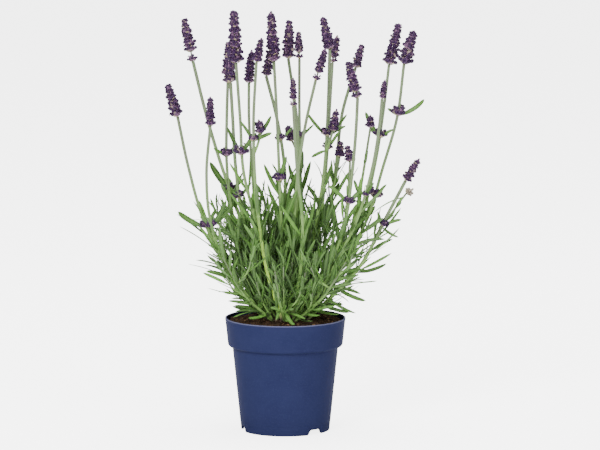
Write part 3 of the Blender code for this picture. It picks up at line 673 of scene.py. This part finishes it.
def square_stem(skin, line, foot_radius, tip_radius, turn, nodes=(), tone=0.5, start=0.0):
    """A square stem with rounded corners and grooved sides, thicker at its nodes."""
    count = max(6, int((line.high - line.low) / (4 * MM)))
    heights = list(np.linspace(line.low - start, line.high, count))
    for node in nodes:
        heights += [node - 1.3 * MM, node - 0.5 * MM, node + 0.5 * MM, node + 1.4 * MM]
    heights = np.array(sorted(h for h in heights if line.low - start <= h <= line.high))
    share = (heights - line.low) / (line.high - line.low)
    radii = foot_radius + (tip_radius - foot_radius) * np.clip(share, 0, 1) ** 0.8
    for node in nodes:
        radii = radii * (1 + NODE_SWELLING * np.exp(-(((heights - node) / (1.1 * MM)) ** 2)))
    turns = np.arange(STEM_SIDES) * math.tau / STEM_SIDES
    bulk = np.abs(np.cos(turns)) ** STEM_SQUARE + np.abs(np.sin(turns)) ** STEM_SQUARE
    square = 1 / bulk ** (1 / STEM_SQUARE)
    square *= 1 - 0.1 * np.exp(-((np.cos(2 * turns) ** 2 - 1) / 0.12) ** 2)
    rings = rings_about(line.at(heights), line.along(heights), radii * 0.78, STEM_SIDES, turn)
    middles = line.at(heights)[:, None]
    rings = middles + (rings - middles) * square[None, :, None]
    corner = np.clip((square - 0.95) / 0.2, 0, 1)
    skin.tube(rings, STEM, tone=tone, along=share, across=np.broadcast_to(corner, rings.shape[:2]))


# A leaf's section: how far across, from -1 to 1, and how far up, in thicknesses. It has a groove
# along the middle of its upper side, a rib below it and edges that roll down.
LEAF_RING = np.array([
    (-1, -0.75), (-0.62, 0.05), (-0.16, 0.0), (0, -0.3), (0.16, 0.0), (0.62, 0.05),
    (1, -0.75), (0.62, -0.95), (0.14, -1.0), (0, -1.6), (-0.14, -1.0), (-0.62, -0.95),
])
LEAF_UNDERSIDE = np.array([0.3, 0, 0, 0, 0, 0, 0.3, 1, 1, 1, 1, 1])


def grow_leaf(skin, root, heading, face, length, width, bend, twist, tone, steps, finish=LEAF, broad=0.0):
    """A narrow leaf with a grooved midrib and rolled edges. Face is its upper side's direction."""
    shares = np.linspace(0, 1, steps) ** 0.86
    angle = (bend * shares**1.2)[:, None]
    direction = np.cos(angle) * heading - np.sin(angle) * face
    moved = (direction[1:] + direction[:-1]) / 2 * (length * np.diff(shares))[:, None]
    middles = root + np.concatenate([np.zeros((1, 3)), np.cumsum(moved, axis=0)])
    top = np.cos(angle) * face + np.sin(angle) * heading
    side = np.cross(heading, face)
    turn = (twist * shares)[:, None]
    side, top = np.cos(turn) * side + np.sin(turn) * top, np.cos(turn) * top - np.sin(turn) * side
    opening = np.clip(shares / (0.42 - 0.2 * broad), 0, 1)
    closing = np.clip((shares - 0.5 + 0.25 * broad) / (0.5 + 0.25 * broad), 0, 1)
    outline = (0.3 + 0.7 * opening * opening * (3 - 2 * opening)) * (1 - closing**3.2) ** 0.62 + 0.04
    half = (width / 2 * outline)[:, None, None]
    thick = (min(0.42 * MM, width * 0.13) * (0.3 + 0.7 * outline))[:, None, None]
    rings = middles[:, None] + side[:, None] * LEAF_RING[None, :, :1] * half
    rings = rings + top[:, None] * LEAF_RING[None, :, 1:] * thick
    skin.tube(
        rings, finish, tone=tone, along=shares,
        across=np.broadcast_to(LEAF_RING[:, 0], rings.shape[:2]),
        under=np.broadcast_to(LEAF_UNDERSIDE, rings.shape[:2]),
    )


def leaf_beside(skin, centre, axis, turn, rise, length, width, rng, shade, steps=11):
    """A leaf that leaves a stem's axis at this turn round it, tilted by rise from it."""
    side, over = beside(axis)
    out = math.cos(turn) * side + math.sin(turn) * over
    heading = out * math.sin(rise) + axis * math.cos(rise)
    face = axis * math.sin(rise) - out * math.cos(rise)
    spin = rng.uniform(-1.0, 1.0)
    sideways = np.cross(heading, face)
    face = face * math.cos(spin) + sideways * math.sin(spin)
    bend = rng.gauss(0.15, 0.42)
    twist = rng.uniform(-0.7, 0.7)
    tone = min(max(rng.gauss(shade, 0.36), 0), 1)
    grow_leaf(skin, centre + out * 0.5 * MM, heading, face, length, width, bend, twist, tone, steps)


def leaf_pair(skin, line, height, turn, length, width, rng, tuft, rise=0.42, shade=LEAF_SHADE):
    """Two opposite leaves at a node and the tuft of young leaves in each one's axil."""
    centre, axis = line.at(height), line.along(height)
    rise = rise * rng.uniform(0.65, 1.45)
    for half in (0, math.pi):
        leaf_beside(
            skin, centre, axis, turn + half + rng.uniform(-0.15, 0.15), rise + rng.uniform(-0.15, 0.15),
            length * rng.uniform(0.82, 1.12), width * rng.uniform(0.85, 1.15), rng, shade,
        )
        for i in range(tuft):
            young = rng.uniform(0.28, 0.58)
            leaf_beside(
                skin, centre + axis * 0.8 * MM, axis, turn + half + rng.uniform(-0.9, 0.9),
                rise * rng.uniform(0.3, 0.9), length * young, width * rng.uniform(0.45, 0.7),
                rng, shade, steps=7,
            )


def leaf_between(skin, root, tip, width, sag, rng, tone):
    """A leaf from root to tip. It sags below the straight way, or arches above it below zero."""
    chord = tip - root
    length = np.linalg.norm(chord)
    chord = chord / length
    up = np.array((0, -0.9, 0.7))
    face = unit(up - chord * np.dot(up, chord))
    swing = 0.48 * sag
    heading = chord * math.cos(swing) + face * math.sin(swing)
    top = face * math.cos(swing) - chord * math.sin(swing)
    length *= 1 + sag * sag / 22
    grow_leaf(skin, root, heading, top, length, width, sag, rng.uniform(-0.5, 0.5), tone, steps=14)


# Down: fine pale hairs, as a colour that is dusted over and as a height.
down, taken, given = group_with(
    "down",
    [
        ("Color", "NodeSocketColor", (0.2, 0.3, 0.1, 1)), ("Hair Color", "NodeSocketColor", DOWN),
        ("Amount", "NodeSocketFloat", 0.3), ("Scale", "NodeSocketFloat", 2500.0),
    ],
    [("Color", "NodeSocketColor"), ("Height", "NodeSocketFloat")],
)
place = down.nodes.new("ShaderNodeTexCoord").outputs["Object"]
hairs = add_node(
    down, "ShaderNodeTexNoise", Vector=place, Scale=taken.outputs["Scale"], Detail=3.0, Roughness=0.7
)
lit = sum_up(down, "MULTIPLY", spread(down, hairs.outputs["Fac"], 0.42, 0.72), taken.outputs["Amount"])
dusted = mix_colours(down, lit, taken.outputs["Color"], taken.outputs["Hair Color"])
down.links.new(dusted, given.inputs["Color"])
down.links.new(hairs.outputs["Fac"], given.inputs["Height"])

stem_skin, tree, shader = new_finish("stem_green", 0.6, Sheen_Weight=0.05, Specular_IOR_Level=0.3)
along = mark(tree, "along")
fresh = mix_colours(tree, spread(tree, along, 0.35, 0.75), STEM_GREEN, STEM_GREY)
patches = place_group(tree, mottle, Scale=70.0, Contrast=1.2)["Value"]
purple = sum_up(tree, "MULTIPLY", spread(tree, along, 0.45, 1.0), spread(tree, patches, 0.35, 0.8, 0.0, 0.75))
aged = mix_colours(tree, purple, fresh, STEM_PURPLE)
edged = mix_colours(tree, sum_up(tree, "MULTIPLY", mark(tree, "across"), 0.28), aged, LEAF_RIB)
lime = sum_up(tree, "MULTIPLY", spread(tree, mark(tree, "tone"), 0.5, 1.0), spread(tree, along, 0.42, 0.2))
young = mix_colours(tree, lime, edged, STEM_LIME)
woody = mix_colours(tree, spread(tree, along, 0.045, 0.0), young, BARK_GREY)
hairy = place_group(tree, down, Color=woody, Amount=0.20, Scale=1800.0)
dress(tree, shader, hairy["Color"], hairy["Height"], 0.3, 0.3 * MM)

leaf_green, tree, shader = new_finish(
    "leaf_green", 0.55, Sheen_Weight=0.05, Subsurface_Weight=0.15, Subsurface_Scale=0.001,
    Subsurface_Radius=(0.5, 0.8, 0.2), Specular_IOR_Level=0.3,
)
tone, along, across, under = (mark(tree, name) for name in ("tone", "along", "across", "under"))
patches = place_group(tree, mottle, Scale=160.0, Contrast=1.1)["Value"]
# Each leaf's tone, with patches, runs from dark to light green; the young shoots' low tone is painted shade.
leaf_tone_and_painted_shade = sum_up(tree, "ADD", sum_up(tree, "MULTIPLY", tone, 0.72), sum_up(tree, "MULTIPLY", patches, 0.28))
green = mix_colours(tree, leaf_tone_and_painted_shade, LEAF_DARK, LEAF_LIGHT)
pale = mix_colours(tree, sum_up(tree, "MULTIPLY", under, 0.6), green, LEAF_UNDER)
rib = spread(tree, sum_up(tree, "ABSOLUTE", across), 0.16, 0.02, 0.0, 0.55)
ribbed = mix_colours(tree, rib, pale, LEAF_RIB)
rooted = mix_colours(tree, spread(tree, along, 0.16, 0.0, 0.0, 0.5), ribbed, LEAF_RIB)
hairy = place_group(tree, down, Color=rooted, Amount=0.10, Scale=2200.0)
dress(tree, shader, hairy["Color"], hairy["Height"], 0.35, 0.3 * MM)

rng = random.Random(5)
lines = [stem_line(foot, bends, neck) for foot, bends, neck, *_ in STEMS]
for number, ((*_, flowers), line) in enumerate(zip(STEMS, lines), 1):
    skin = Skin()
    rings_at = [POT_HEIGHT + height * MM for height in flowers]
    nodes, height, step = [], line.low + rng.uniform(6, 14) * MM, rng.uniform(10, 13) * MM
    top = POT_HEIGHT + rng.uniform(100, 148) * MM
    if number == FRONT_STEM:
        height = line.low + FRONT_STEM_BARE
    while height < min(top, line.high - 45 * MM):
        if all(abs(height - other) > 9 * MM for other in rings_at):
            nodes.append(height)
        height += step
        step *= 1.09
    foot_radius = STEM_FOOT * (1.15 if number == FRONT_STEM else 1)
    tone = 1.0 if number == FRONT_STEM else 0.5
    square_stem(
        skin, line, foot_radius, STEM_NECK, rng.uniform(-0.4, 0.4), nodes + rings_at, tone, start=1.5 * MM
    )
    turn = rng.random() * math.pi
    for i, height in enumerate(nodes):
        share = (height - line.low) / (top - line.low)
        length = (27 + 17 * math.sin(math.pi * min(share, 1))) * MM * rng.uniform(0.85, 1.2)
        width = (rng.uniform(1.9, 3.3) + 1.5 * min(share, 1)) * MM
        tuft = 2 if share < 0.7 else 1
        leaf_pair(skin, line, height, turn, length, width, rng, tuft, rise=0.62 - 0.3 * share)
        turn += math.pi / 2 + rng.uniform(-0.2, 0.2)
    for ring, x, y, z, width, sag in RING_LEAVES.get(number, ()):
        root = line.at(POT_HEIGHT + ring * MM - 1.5 * MM)
        reach = np.array((x, y, z)) * MM
        leaf_between(skin, root, root + reach, width * MM, sag, rng, tone=rng.uniform(0.1, 0.5))
    stem = skin.piece(f"stem_{number:02d}_with_leaves", [stem_skin, leaf_green])
    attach(stem, "root")
    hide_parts(f"flower_stem_{number:02d}")


# ---- Flower spikes -----------------------------------------------------------------------------
# Rings of ribbed, felted violet calyces round the end of each stem, with a papery brown bract
# under each half ring, and petals that just show or stand open from some of the calyces.

FULL_RADIUS = 5.1
RING_PITCH = 5.3 * MM
TIP_FLOWERS = 10
LOW_RING_SIZE = 1.25
LOW_RING_RADIUS = 6.2
CALYX_LENGTH = 4.8 * MM
CALYX_WIDTH = 2.4 * MM
CALYX_DARK = (0.052, 0.012, 0.060, 1)
CALYX_VIOLET = (0.330, 0.160, 0.320, 1)
CALYX_BASE = (0.620, 0.520, 0.380, 1)
CALYX_DOWN = (0.55, 0.40, 0.54, 1)
PETAL_DEEP = (0.011, 0.0006, 0.022, 1)
PETAL_LIGHT = (0.030, 0.0015, 0.050, 1)
BRACT_BROWN = (0.520, 0.420, 0.260, 1)
BRACT_GREEN = (0.400, 0.390, 0.220, 1)
BRACT_VEIN = (0.12, 0.08, 0.04, 1)

# The places of the finishes in a flower piece's list.
CALYX, PETAL, BRACT, STALK = range(4)

CALYX_SIDES = 10
BUD_SIDES = 7
PETAL_SIDES = 20
CALYX_SHAPE = np.array(
    [(0, 0.28), (0.08, 0.6), (0.3, 0.95), (0.55, 1.0), (0.8, 0.86), (0.94, 0.9), (1.0, 1.0)]
)
CALYX_MOUTH = np.array([(0.93, 0.62), (0.7, 0.4)])


def grow_calyx(skin, base, heading, length, width, rng):
    """A ribbed tube with small teeth round its mouth, closed inside."""
    shape = np.concatenate([CALYX_SHAPE, CALYX_MOUTH])
    middles = base + heading * shape[:, :1] * length
    rings = rings_about(middles, heading, shape[:, 1] * width / 2, CALYX_SIDES, rng.random())
    ribs = np.where(np.arange(CALYX_SIDES) % 2, 1.0, 0.88)
    rings = middles[:, None] + (rings - middles[:, None]) * ribs[None, :, None]
    teeth = np.where(np.arange(CALYX_SIDES) % 2, 0.13, -0.02) * length
    rim = len(CALYX_SHAPE) - 1
    flare = np.where(teeth > 0, 0.22, 0)
    rings[rim] += heading * teeth[:, None] + (rings[rim] - middles[rim]) * flare[:, None]
    # The mouth's inner rings are marked as under, so that the finish darkens them as painted shade inside the
    # mouth.
    skin.tube(
        rings, CALYX, tone=rng.random(), along=shape[:, 0],
        across=np.broadcast_to((ribs > 0.95) * 1.0, rings.shape[:2]),
        under=np.array([0.0] * len(CALYX_SHAPE) + [1.0] * len(CALYX_MOUTH)),
    )


def grow_bud(skin, base, heading, length, width, rng):
    """Closed petals, a rounded plug in the calyx's mouth."""
    shape = np.array([(0, 0.7), (0.25, 0.97), (0.55, 1.0), (0.82, 0.72), (1.0, 0.2)])
    middles = base + heading * shape[:, :1] * length
    rings = rings_about(middles, heading, shape[:, 1] * width / 2, BUD_SIDES, rng.random())
    skin.tube(rings, PETAL, tone=rng.random(), along=shape[:, 0])


def grow_flower(skin, base, heading, size, rng):
    """An open flower: a short tube that flares into five rounded lobes."""
    turns = np.arange(PETAL_SIDES) * math.tau / PETAL_SIDES
    lobes = 0.62 + 0.38 * np.abs(np.cos(2.5 * turns)) ** 0.6
    shape = np.array([
        (0, 0.3, 0), (0.5, 0.34, 0), (0.8, 0.5, 0.3), (0.95, 0.85, 0.8), (0.9, 1.15, 1), (0.97, 1.1, 1),
        (1.0, 0.8, 0.8), (0.9, 0.4, 0.3), (0.5, 0.2, 0),
    ])
    middles = base + heading * shape[:, :1] * size
    rings = rings_about(middles, heading, shape[:, 1] * size, PETAL_SIDES, rng.random())
    spreads = 1 - shape[:, 2:3] * (1 - lobes[None])
    rings = middles[:, None] + (rings - middles[:, None]) * spreads[..., None]
    skin.tube(rings, PETAL, tone=rng.uniform(0.6, 1), along=shape[:, 0])


def tilted(axis, turn, tilt):
    """The direction at this turn round an axis that is tilted this far from it."""
    side, over = beside(axis)
    return (math.cos(turn) * side + math.sin(turn) * over) * math.sin(tilt) + axis * math.cos(tilt)


def flower_ring(skin, centre, axis, size, turn, rng, outer, inner, tilt=1.1, open_share=0.08):
    """One ring of flowers: an outer and an inner circle of calyces and two opposite bracts."""
    for half in (0, math.pi):
        heading = tilted(axis, turn + half, min(tilt * 1.15, 1.25))
        face = unit(axis - heading * np.dot(axis, heading))
        root = centre - axis * 1.2 * MM * size + heading * 0.5 * MM
        grow_leaf(
            skin, root, heading, face, 4.6 * MM * size, 3.4 * MM * size, -0.6, 0, rng.random(), steps=7,
            finish=BRACT, broad=1.0,
        )
    for count, lean, lift in ((outer, tilt, 0.0), (inner, tilt * 0.62, 1.2 * MM)):
        for i in range(count):
            around = turn + math.tau * (i + 0.5 + rng.uniform(-0.25, 0.25)) / count
            heading = tilted(axis, around, lean * rng.uniform(0.88, 1.1))
            length = CALYX_LENGTH * size * rng.uniform(0.82, 1.1)
            base = centre + axis * (lift * size + rng.uniform(-0.35, 0.35) * MM)
            base = base + tilted(axis, around, 1.5) * 0.7 * MM * size
            width = CALYX_WIDTH * size * rng.uniform(0.88, 1.1)
            grow_calyx(skin, base, heading, length, width, rng)
            mouth = base + heading * length * 0.82
            kind = rng.random()
            if kind < open_share:
                grow_flower(skin, mouth, heading, 2.3 * MM * size, rng)
            elif kind < 0.92:
                bud_length = width * rng.uniform(0.75, 1.05)
                grow_bud(skin, mouth, heading, bud_length, width * rng.uniform(1.05, 1.3), rng)


def grow_spike(skin, neck, tip, radius, gap, rng):
    """Rings of flowers from the neck to the tip, smaller towards the tip."""
    axis = unit(tip - neck)
    length = np.linalg.norm(tip - neck)
    size = radius / FULL_RADIUS
    start = (gap + 3) * MM if gap else 1.5 * MM
    if gap:
        flower_ring(skin, neck + axis * 1.2 * MM, axis, size * 0.85, rng.random() * 3, rng, outer=8, inner=3)
    top = length - 4.6 * MM * size
    turn = rng.random() * 3
    at = start
    while at < top - 0.5 * MM:
        share = (at - start) / (top - start)
        ring_size = size * (1.0 - 0.36 * share**2)
        flower_ring(
            skin, neck + axis * at, axis, ring_size, turn, rng, outer=round(10 - 2 * share), inner=7,
            tilt=1.12 - 0.34 * share, open_share=0.04 * (1 - share),
        )
        turn += math.pi / 2 + rng.uniform(-0.2, 0.2)
        at += RING_PITCH * ring_size * rng.uniform(0.92, 1.08)
    for i in range(TIP_FLOWERS):
        heading = tilted(axis, turn + i * 2.4, 0.10 + 0.07 * i)
        base = neck + axis * (top - 0.35 * i * MM)
        length = CALYX_LENGTH * size * (0.74 - 0.015 * i)
        grow_calyx(skin, base, heading, length, CALYX_WIDTH * size * 0.68, rng)
        grow_bud(skin, base + heading * length * 0.8, heading, length * 0.36, CALYX_WIDTH * size * 0.68, rng)
    rachis = np.linspace(-0.8 * MM, top, 8)[:, None] * axis + neck
    skin.tube(rings_about(rachis, axis, np.full(8, 0.85 * MM), 8), STALK, along=0.95)


violet_calyx, tree, shader = new_finish("violet_calyx", 0.75, Sheen_Weight=0.2, Sheen_Roughness=0.4)
tone, along, across, under = (mark(tree, name) for name in ("tone", "along", "across", "under"))
patches = place_group(tree, mottle, Scale=420.0, Contrast=1.3)["Value"]
shade = sum_up(tree, "ADD", sum_up(tree, "MULTIPLY", tone, 0.55), sum_up(tree, "MULTIPLY", patches, 0.45))
violet = mix_colours(tree, shade, CALYX_DARK, CALYX_VIOLET)
faded = spread(tree, tone, 0.14, 0.06, 0.0, 0.8)
pale = sum_up(tree, "MAXIMUM", spread(tree, along, 0.4, 0.0, 0.0, 0.9), faded)
based = mix_colours(tree, pale, violet, CALYX_BASE)
# The inner rings of each calyx's mouth are mixed towards the dark violet: painted shade inside the mouth.
inside = mix_colours(tree, sum_up(tree, "MULTIPLY", under, 0.8), based, CALYX_DARK)
amount = spread(tree, across, 0.0, 1.0, 0.08, 0.36)
hairy = place_group(tree, down, Color=inside, Hair_Color=CALYX_DOWN, Amount=amount, Scale=2600.0)
dress(tree, shader, hairy["Color"], hairy["Height"], 0.5, 0.3 * MM)

violet_petal, tree, shader = new_finish("violet_petal", 0.5, Specular_IOR_Level=0.35)
tone, along = mark(tree, "tone"), mark(tree, "along")
patches = place_group(tree, mottle, Scale=700.0, Contrast=1.0)["Value"]
shade = sum_up(tree, "MULTIPLY", sum_up(tree, "ADD", tone, patches), 0.5)
tree.links.new(mix_colours(tree, shade, PETAL_DEEP, PETAL_LIGHT), shader.inputs["Base Color"])

brown_bract, tree, shader = new_finish("brown_bract", 0.7)
tone, along, across = (mark(tree, name) for name in ("tone", "along", "across"))
dry = mix_colours(tree, sum_up(tree, "MULTIPLY", tone, 0.8), BRACT_BROWN, BRACT_GREEN)
width = add_node(tree, "ShaderNodeCombineXYZ", X=across).outputs[0]
veins = add_node(tree, "ShaderNodeTexWave", Scale=9.0, Distortion=0.4, Vector=width)
veined = mix_colours(tree, sum_up(tree, "MULTIPLY", veins.outputs["Fac"], 0.4), dry, BRACT_VEIN)
tree.links.new(veined, shader.inputs["Base Color"])

FLOWER_FINISHES = [violet_calyx, violet_petal, brown_bract, stem_skin]
rng = random.Random(23)
for number, (*_, neck, tip, radius, gap, flowers) in enumerate(STEMS, 1):
    skin = Skin()
    grow_spike(skin, from_rim(*neck), from_rim(*tip), radius, gap, rng)
    spike = skin.piece(f"spike_{number:02d}", FLOWER_FINISHES)
    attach(spike, "root")
    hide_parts(f"flower_spike_{number:02d}")
    for i, height in enumerate(flowers):
        skin = Skin()
        at = POT_HEIGHT + height * MM
        line = lines[number - 1]
        size = LOW_RING_SIZE * radius / LOW_RING_RADIUS
        flower_ring(skin, line.at(at), line.along(at), size, rng.random() * 3, rng, outer=10, inner=6)
        low_ring = skin.piece(f"flower_ring_{number:02d}_{i + 1}", FLOWER_FINISHES)
        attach(low_ring, "root")


# ---- Side shoots -------------------------------------------------------------------------------
# Thin shoots from the axils of some stems, each with a small late spike. One has faded to straw.

# The stem's number, the height where the shoot leaves it, the neck, the tip and the radius.
SIDE_SPIKES = (
    (7, 168, (-24, -36, 188), (-26, -38, 203), 5.0),
    (12, 155, (7, 42, 171), (2, 41, 188), 5.0),
    (14, 165, (47, -6, 187), (51, -8, 210), 4.6),
    (21, 96, (84, -14, 191), (84, -15, 205), 4.3),
    (17, 115, (54, 18, 158), (55, 17, 175), 4.7),
    (18, 105, (64, -20, 158), (61, -19, 175), 4.8),
    (22, 86, (120, 14, 122), (128, 17, 127), 4.2),
)
FADED_SPIKE = 7
LONG_SHOOT = 30 * MM
STRAW_DARK = (0.20, 0.16, 0.11, 1)
STRAW_LIGHT = (0.46, 0.41, 0.33, 1)

faded_calyx, tree, shader = new_finish("faded_calyx", 0.85)
shade = place_group(tree, mottle, Scale=420.0, Contrast=1.3)["Value"]
straw = mix_colours(tree, shade, STRAW_DARK, STRAW_LIGHT)
tree.links.new(straw, shader.inputs["Base Color"])
FADED_FINISHES = [faded_calyx, faded_calyx, brown_bract, stem_skin]

for number, (stem_number, leaves_at, neck, tip, radius) in enumerate(SIDE_SPIKES, 1):
    start = lines[stem_number - 1].at(POT_HEIGHT + leaves_at * MM)
    neck, tip = from_rim(*neck), from_rim(*tip)
    middle = (start + neck) / 2 + (neck - tip) * 0.1
    line = Line([start, middle, neck])
    skin = Skin()
    square_stem(skin, line, STEM_NECK * 0.9, STEM_NECK * 0.65, rng.random())
    if np.linalg.norm(neck - start) > LONG_SHOOT:
        for share in (0.3, 0.62):
            height = line.low + (line.high - line.low) * share
            leaf_pair(skin, line, height, rng.random() * 3, 17 * MM, 2.8 * MM, rng, tuft=1)
    shoot = skin.piece(f"side_shoot_{number}", [stem_skin, leaf_green])
    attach(shoot, "root")
    skin = Skin()
    grow_spike(skin, neck, tip, radius, 0, rng)
    finishes = FADED_FINISHES if number == FADED_SPIKE else FLOWER_FINISHES
    spike = skin.piece(f"small_spike_{number}", finishes)
    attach(spike, "root")
    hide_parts(f"side_spike_{number}")


# ---- Leafy branches ----------------------------------------------------------------------------
# Low branches that don't flower: short woody bases that turn up and outwards, with twigs, close
# pairs of leaves and a bunch of young leaves at each end.

# The foot, the bend and the end of each branch, in millimetres from the rim's centre, the length
# of its leaves and how many twigs it has. The last one, at the front, has short leaves.
BRANCHES = (
    ((-12, -19), (-38, -29, 24), (-62, -38, 66), 30, 4),
    ((-18, 13), (-38, 30, 36), (-58, 46, 92), 33, 4),
    ((-3, 21), (-4, 44, 38), (-4, 66, 104), 34, 4),
    ((12, 20), (40, 37, 32), (66, 50, 84), 33, 4),
    ((9, -22), (34, -36, 22), (60, -46, 62), 29, 4),
    ((0, -24), (-5, -46, 20), (-10, -66, 56), 13, 1),
)
BRANCH_FOOT = 1.7 * MM
BRANCH_TIP = 0.8 * MM
BRANCH_STEP = 9 * MM
END_LEAVES = 4


def leafy_line(skin, line, foot_radius, step, length, width, rng, first=4 * MM, rise=0.5, shade=LEAF_SHADE):
    """A leafy shoot: its stem, pairs of leaves and a bunch of young leaves at its end."""
    nodes = list(np.arange(line.low + first, line.high - 2 * MM, step * rng.uniform(0.9, 1.1)))
    square_stem(skin, line, foot_radius, BRANCH_TIP, rng.random(), nodes)
    turn = rng.random() * 3
    for height in nodes:
        share = (height - line.low) / (line.high - line.low)
        long = length * (0.75 + 0.35 * math.sin(math.pi * share))
        leaf_pair(skin, line, height, turn, long, width, rng, 1, rise * (1.3 - 0.6 * share), shade)
        turn += math.pi / 2 + rng.uniform(-0.25, 0.25)
    end, axis = line.at(line.high), line.along(line.high)
    for i in range(END_LEAVES):
        leaf_beside(
            skin, end, axis, turn + i * 1.6, rng.uniform(0.05, 0.3), length * rng.uniform(0.5, 0.95),
            width * 0.8, rng, shade, steps=9,
        )


rng = random.Random(31)
for number, (foot, bend, end, leaf_length, twigs) in enumerate(BRANCHES, 1):
    x, y = foot[0] * MM, foot[1] * MM
    line = Line([(x, y, crown_top(x, y) - 1 * MM), from_rim(*bend), from_rim(*end)])
    skin = Skin()
    leafy_line(skin, line, BRANCH_FOOT, BRANCH_STEP, leaf_length * MM, 3.0 * MM, rng, rise=0.6)
    for i in range(twigs):
        share = 0.18 + 0.2 * i
        start = line.at(line.low + (line.high - line.low) * share)
        turn = i * 2.4 + number
        out = np.array((math.cos(turn), math.sin(turn), 0)) * rng.uniform(20, 28) * MM
        rise = np.array((0, 0, rng.uniform(20, 32) * MM))
        twig = Line([start, start + 0.45 * out + 0.35 * rise, start + 0.75 * out + rise])
        leafy_line(skin, twig, 1.0 * MM, BRANCH_STEP, leaf_length * 0.85 * MM, 2.7 * MM, rng)
    branch = skin.piece(f"branch_{number}_with_leaves", [stem_skin, leaf_green])
    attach(branch, "root")
    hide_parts(f"leafy_branch_{number}")


# ---- Young shoots ------------------------------------------------------------------------------
# Short upright shoots between the flower stems that fill the middle of the plant with leaves.
# Their leaves are given a dark tone as painted shade of the plant's crowded middle.

YOUNG_SHOOTS = 46
SHOOTS_RADIUS = 23 * MM
SHOOT_REACH = 42
SHOOT_STEP = 12 * MM
SHOOT_LEAF_LENGTH = 35 * MM
SHOOT_LEAF_WIDTH = 3.1 * MM
GOLDEN_TURN = 2.399

rng = random.Random(43)
for number in range(1, YOUNG_SHOOTS + 1):
    turn = number * GOLDEN_TURN
    spread_out = math.sqrt((number - 0.5) / YOUNG_SHOOTS)
    x = SHOOTS_RADIUS * spread_out * math.cos(turn)
    y = SHOOTS_RADIUS * spread_out * math.sin(turn)
    height = rng.uniform(55, 112) * (1 - 0.3 * spread_out)
    far = rng.uniform(0.9, 1.5) * spread_out * SHOOT_REACH
    end = from_rim(far * math.cos(turn) * 1.25, far * math.sin(turn) * 0.85, height)
    start = np.array((x, y, crown_top(x, y) - 1 * MM))
    middle = (start + end) / 2 + (end - start) * (0.15, 0.15, 0)
    skin = Skin()
    # A low mean tone darkens these leaves: painted shade among the stems.
    leafy_line(
        skin, Line([start, middle, end]), 1.3 * MM, SHOOT_STEP, SHOOT_LEAF_LENGTH, SHOOT_LEAF_WIDTH, rng,
        first=8 * MM, rise=0.38, shade=0.16,
    )
    shoot = skin.piece(f"young_shoot_{number:02d}", [stem_skin, leaf_green])
    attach(shoot, "root")


# ---- Low leaves ---------------------------------------------------------------------------------
# Old outer leaves at the foot of the plant, which lean out over the compost and the rim. One at
# the front curls down towards the rim.

# Each leaf's root and tip, in millimetres from the rim's centre, its width, sag and tone.
LOW_LEAVES = (
    ((0, -24, 19), (28, -40, 40), 4.6, 0.5, 0.3),
    ((-3, -26, 15), (9, -57, 2.5), 3.8, -1.1, 0.9), ((-5, -27, 11), (-9, -53, 5), 3.4, 0.7, 0.7),
    ((-14, -22, 8), (-36, -42, 6), 3.4, -0.6, 1.0), ((-16, -16, 10), (-57, -20, 19), 3.2, 0.7, 0.5),
    ((-15, -10, 13), (-50, -8, 13), 3.0, -0.5, 0.3), ((-18, 2, 18), (-52, 4, 28), 3.4, 0.6, 0.4),
    ((12, -20, 10), (34, -43, 9), 3.2, -0.6, 0.8), ((17, -15, 13), (53, -26, 7), 3.2, -0.5, 0.3),
    ((20, -2, 14), (57, 2, 14), 3.4, -0.6, 0.4), ((2, -24, 8), (20, -46, 5), 3.0, 0.6, 0.8),
    ((-6, 22, 13), (-20, 54, 10), 3.2, -0.6, 0.5), ((8, 22, 12), (24, 55, 8), 3.2, 0.6, 0.6),
    ((-18, 12, 12), (-54, 30, 14), 3.0, 0.6, 0.4), ((20, 14, 12), (56, 30, 10), 3.0, -0.5, 0.5),
)

rng = random.Random(57)
skin = Skin()
for root, tip, width, sag, tone in LOW_LEAVES:
    leaf_between(skin, from_rim(*root), from_rim(*tip), width * MM, sag, rng, tone)
low_leaves = skin.piece("low_leaves", [stem_skin, leaf_green])
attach(low_leaves, "root")
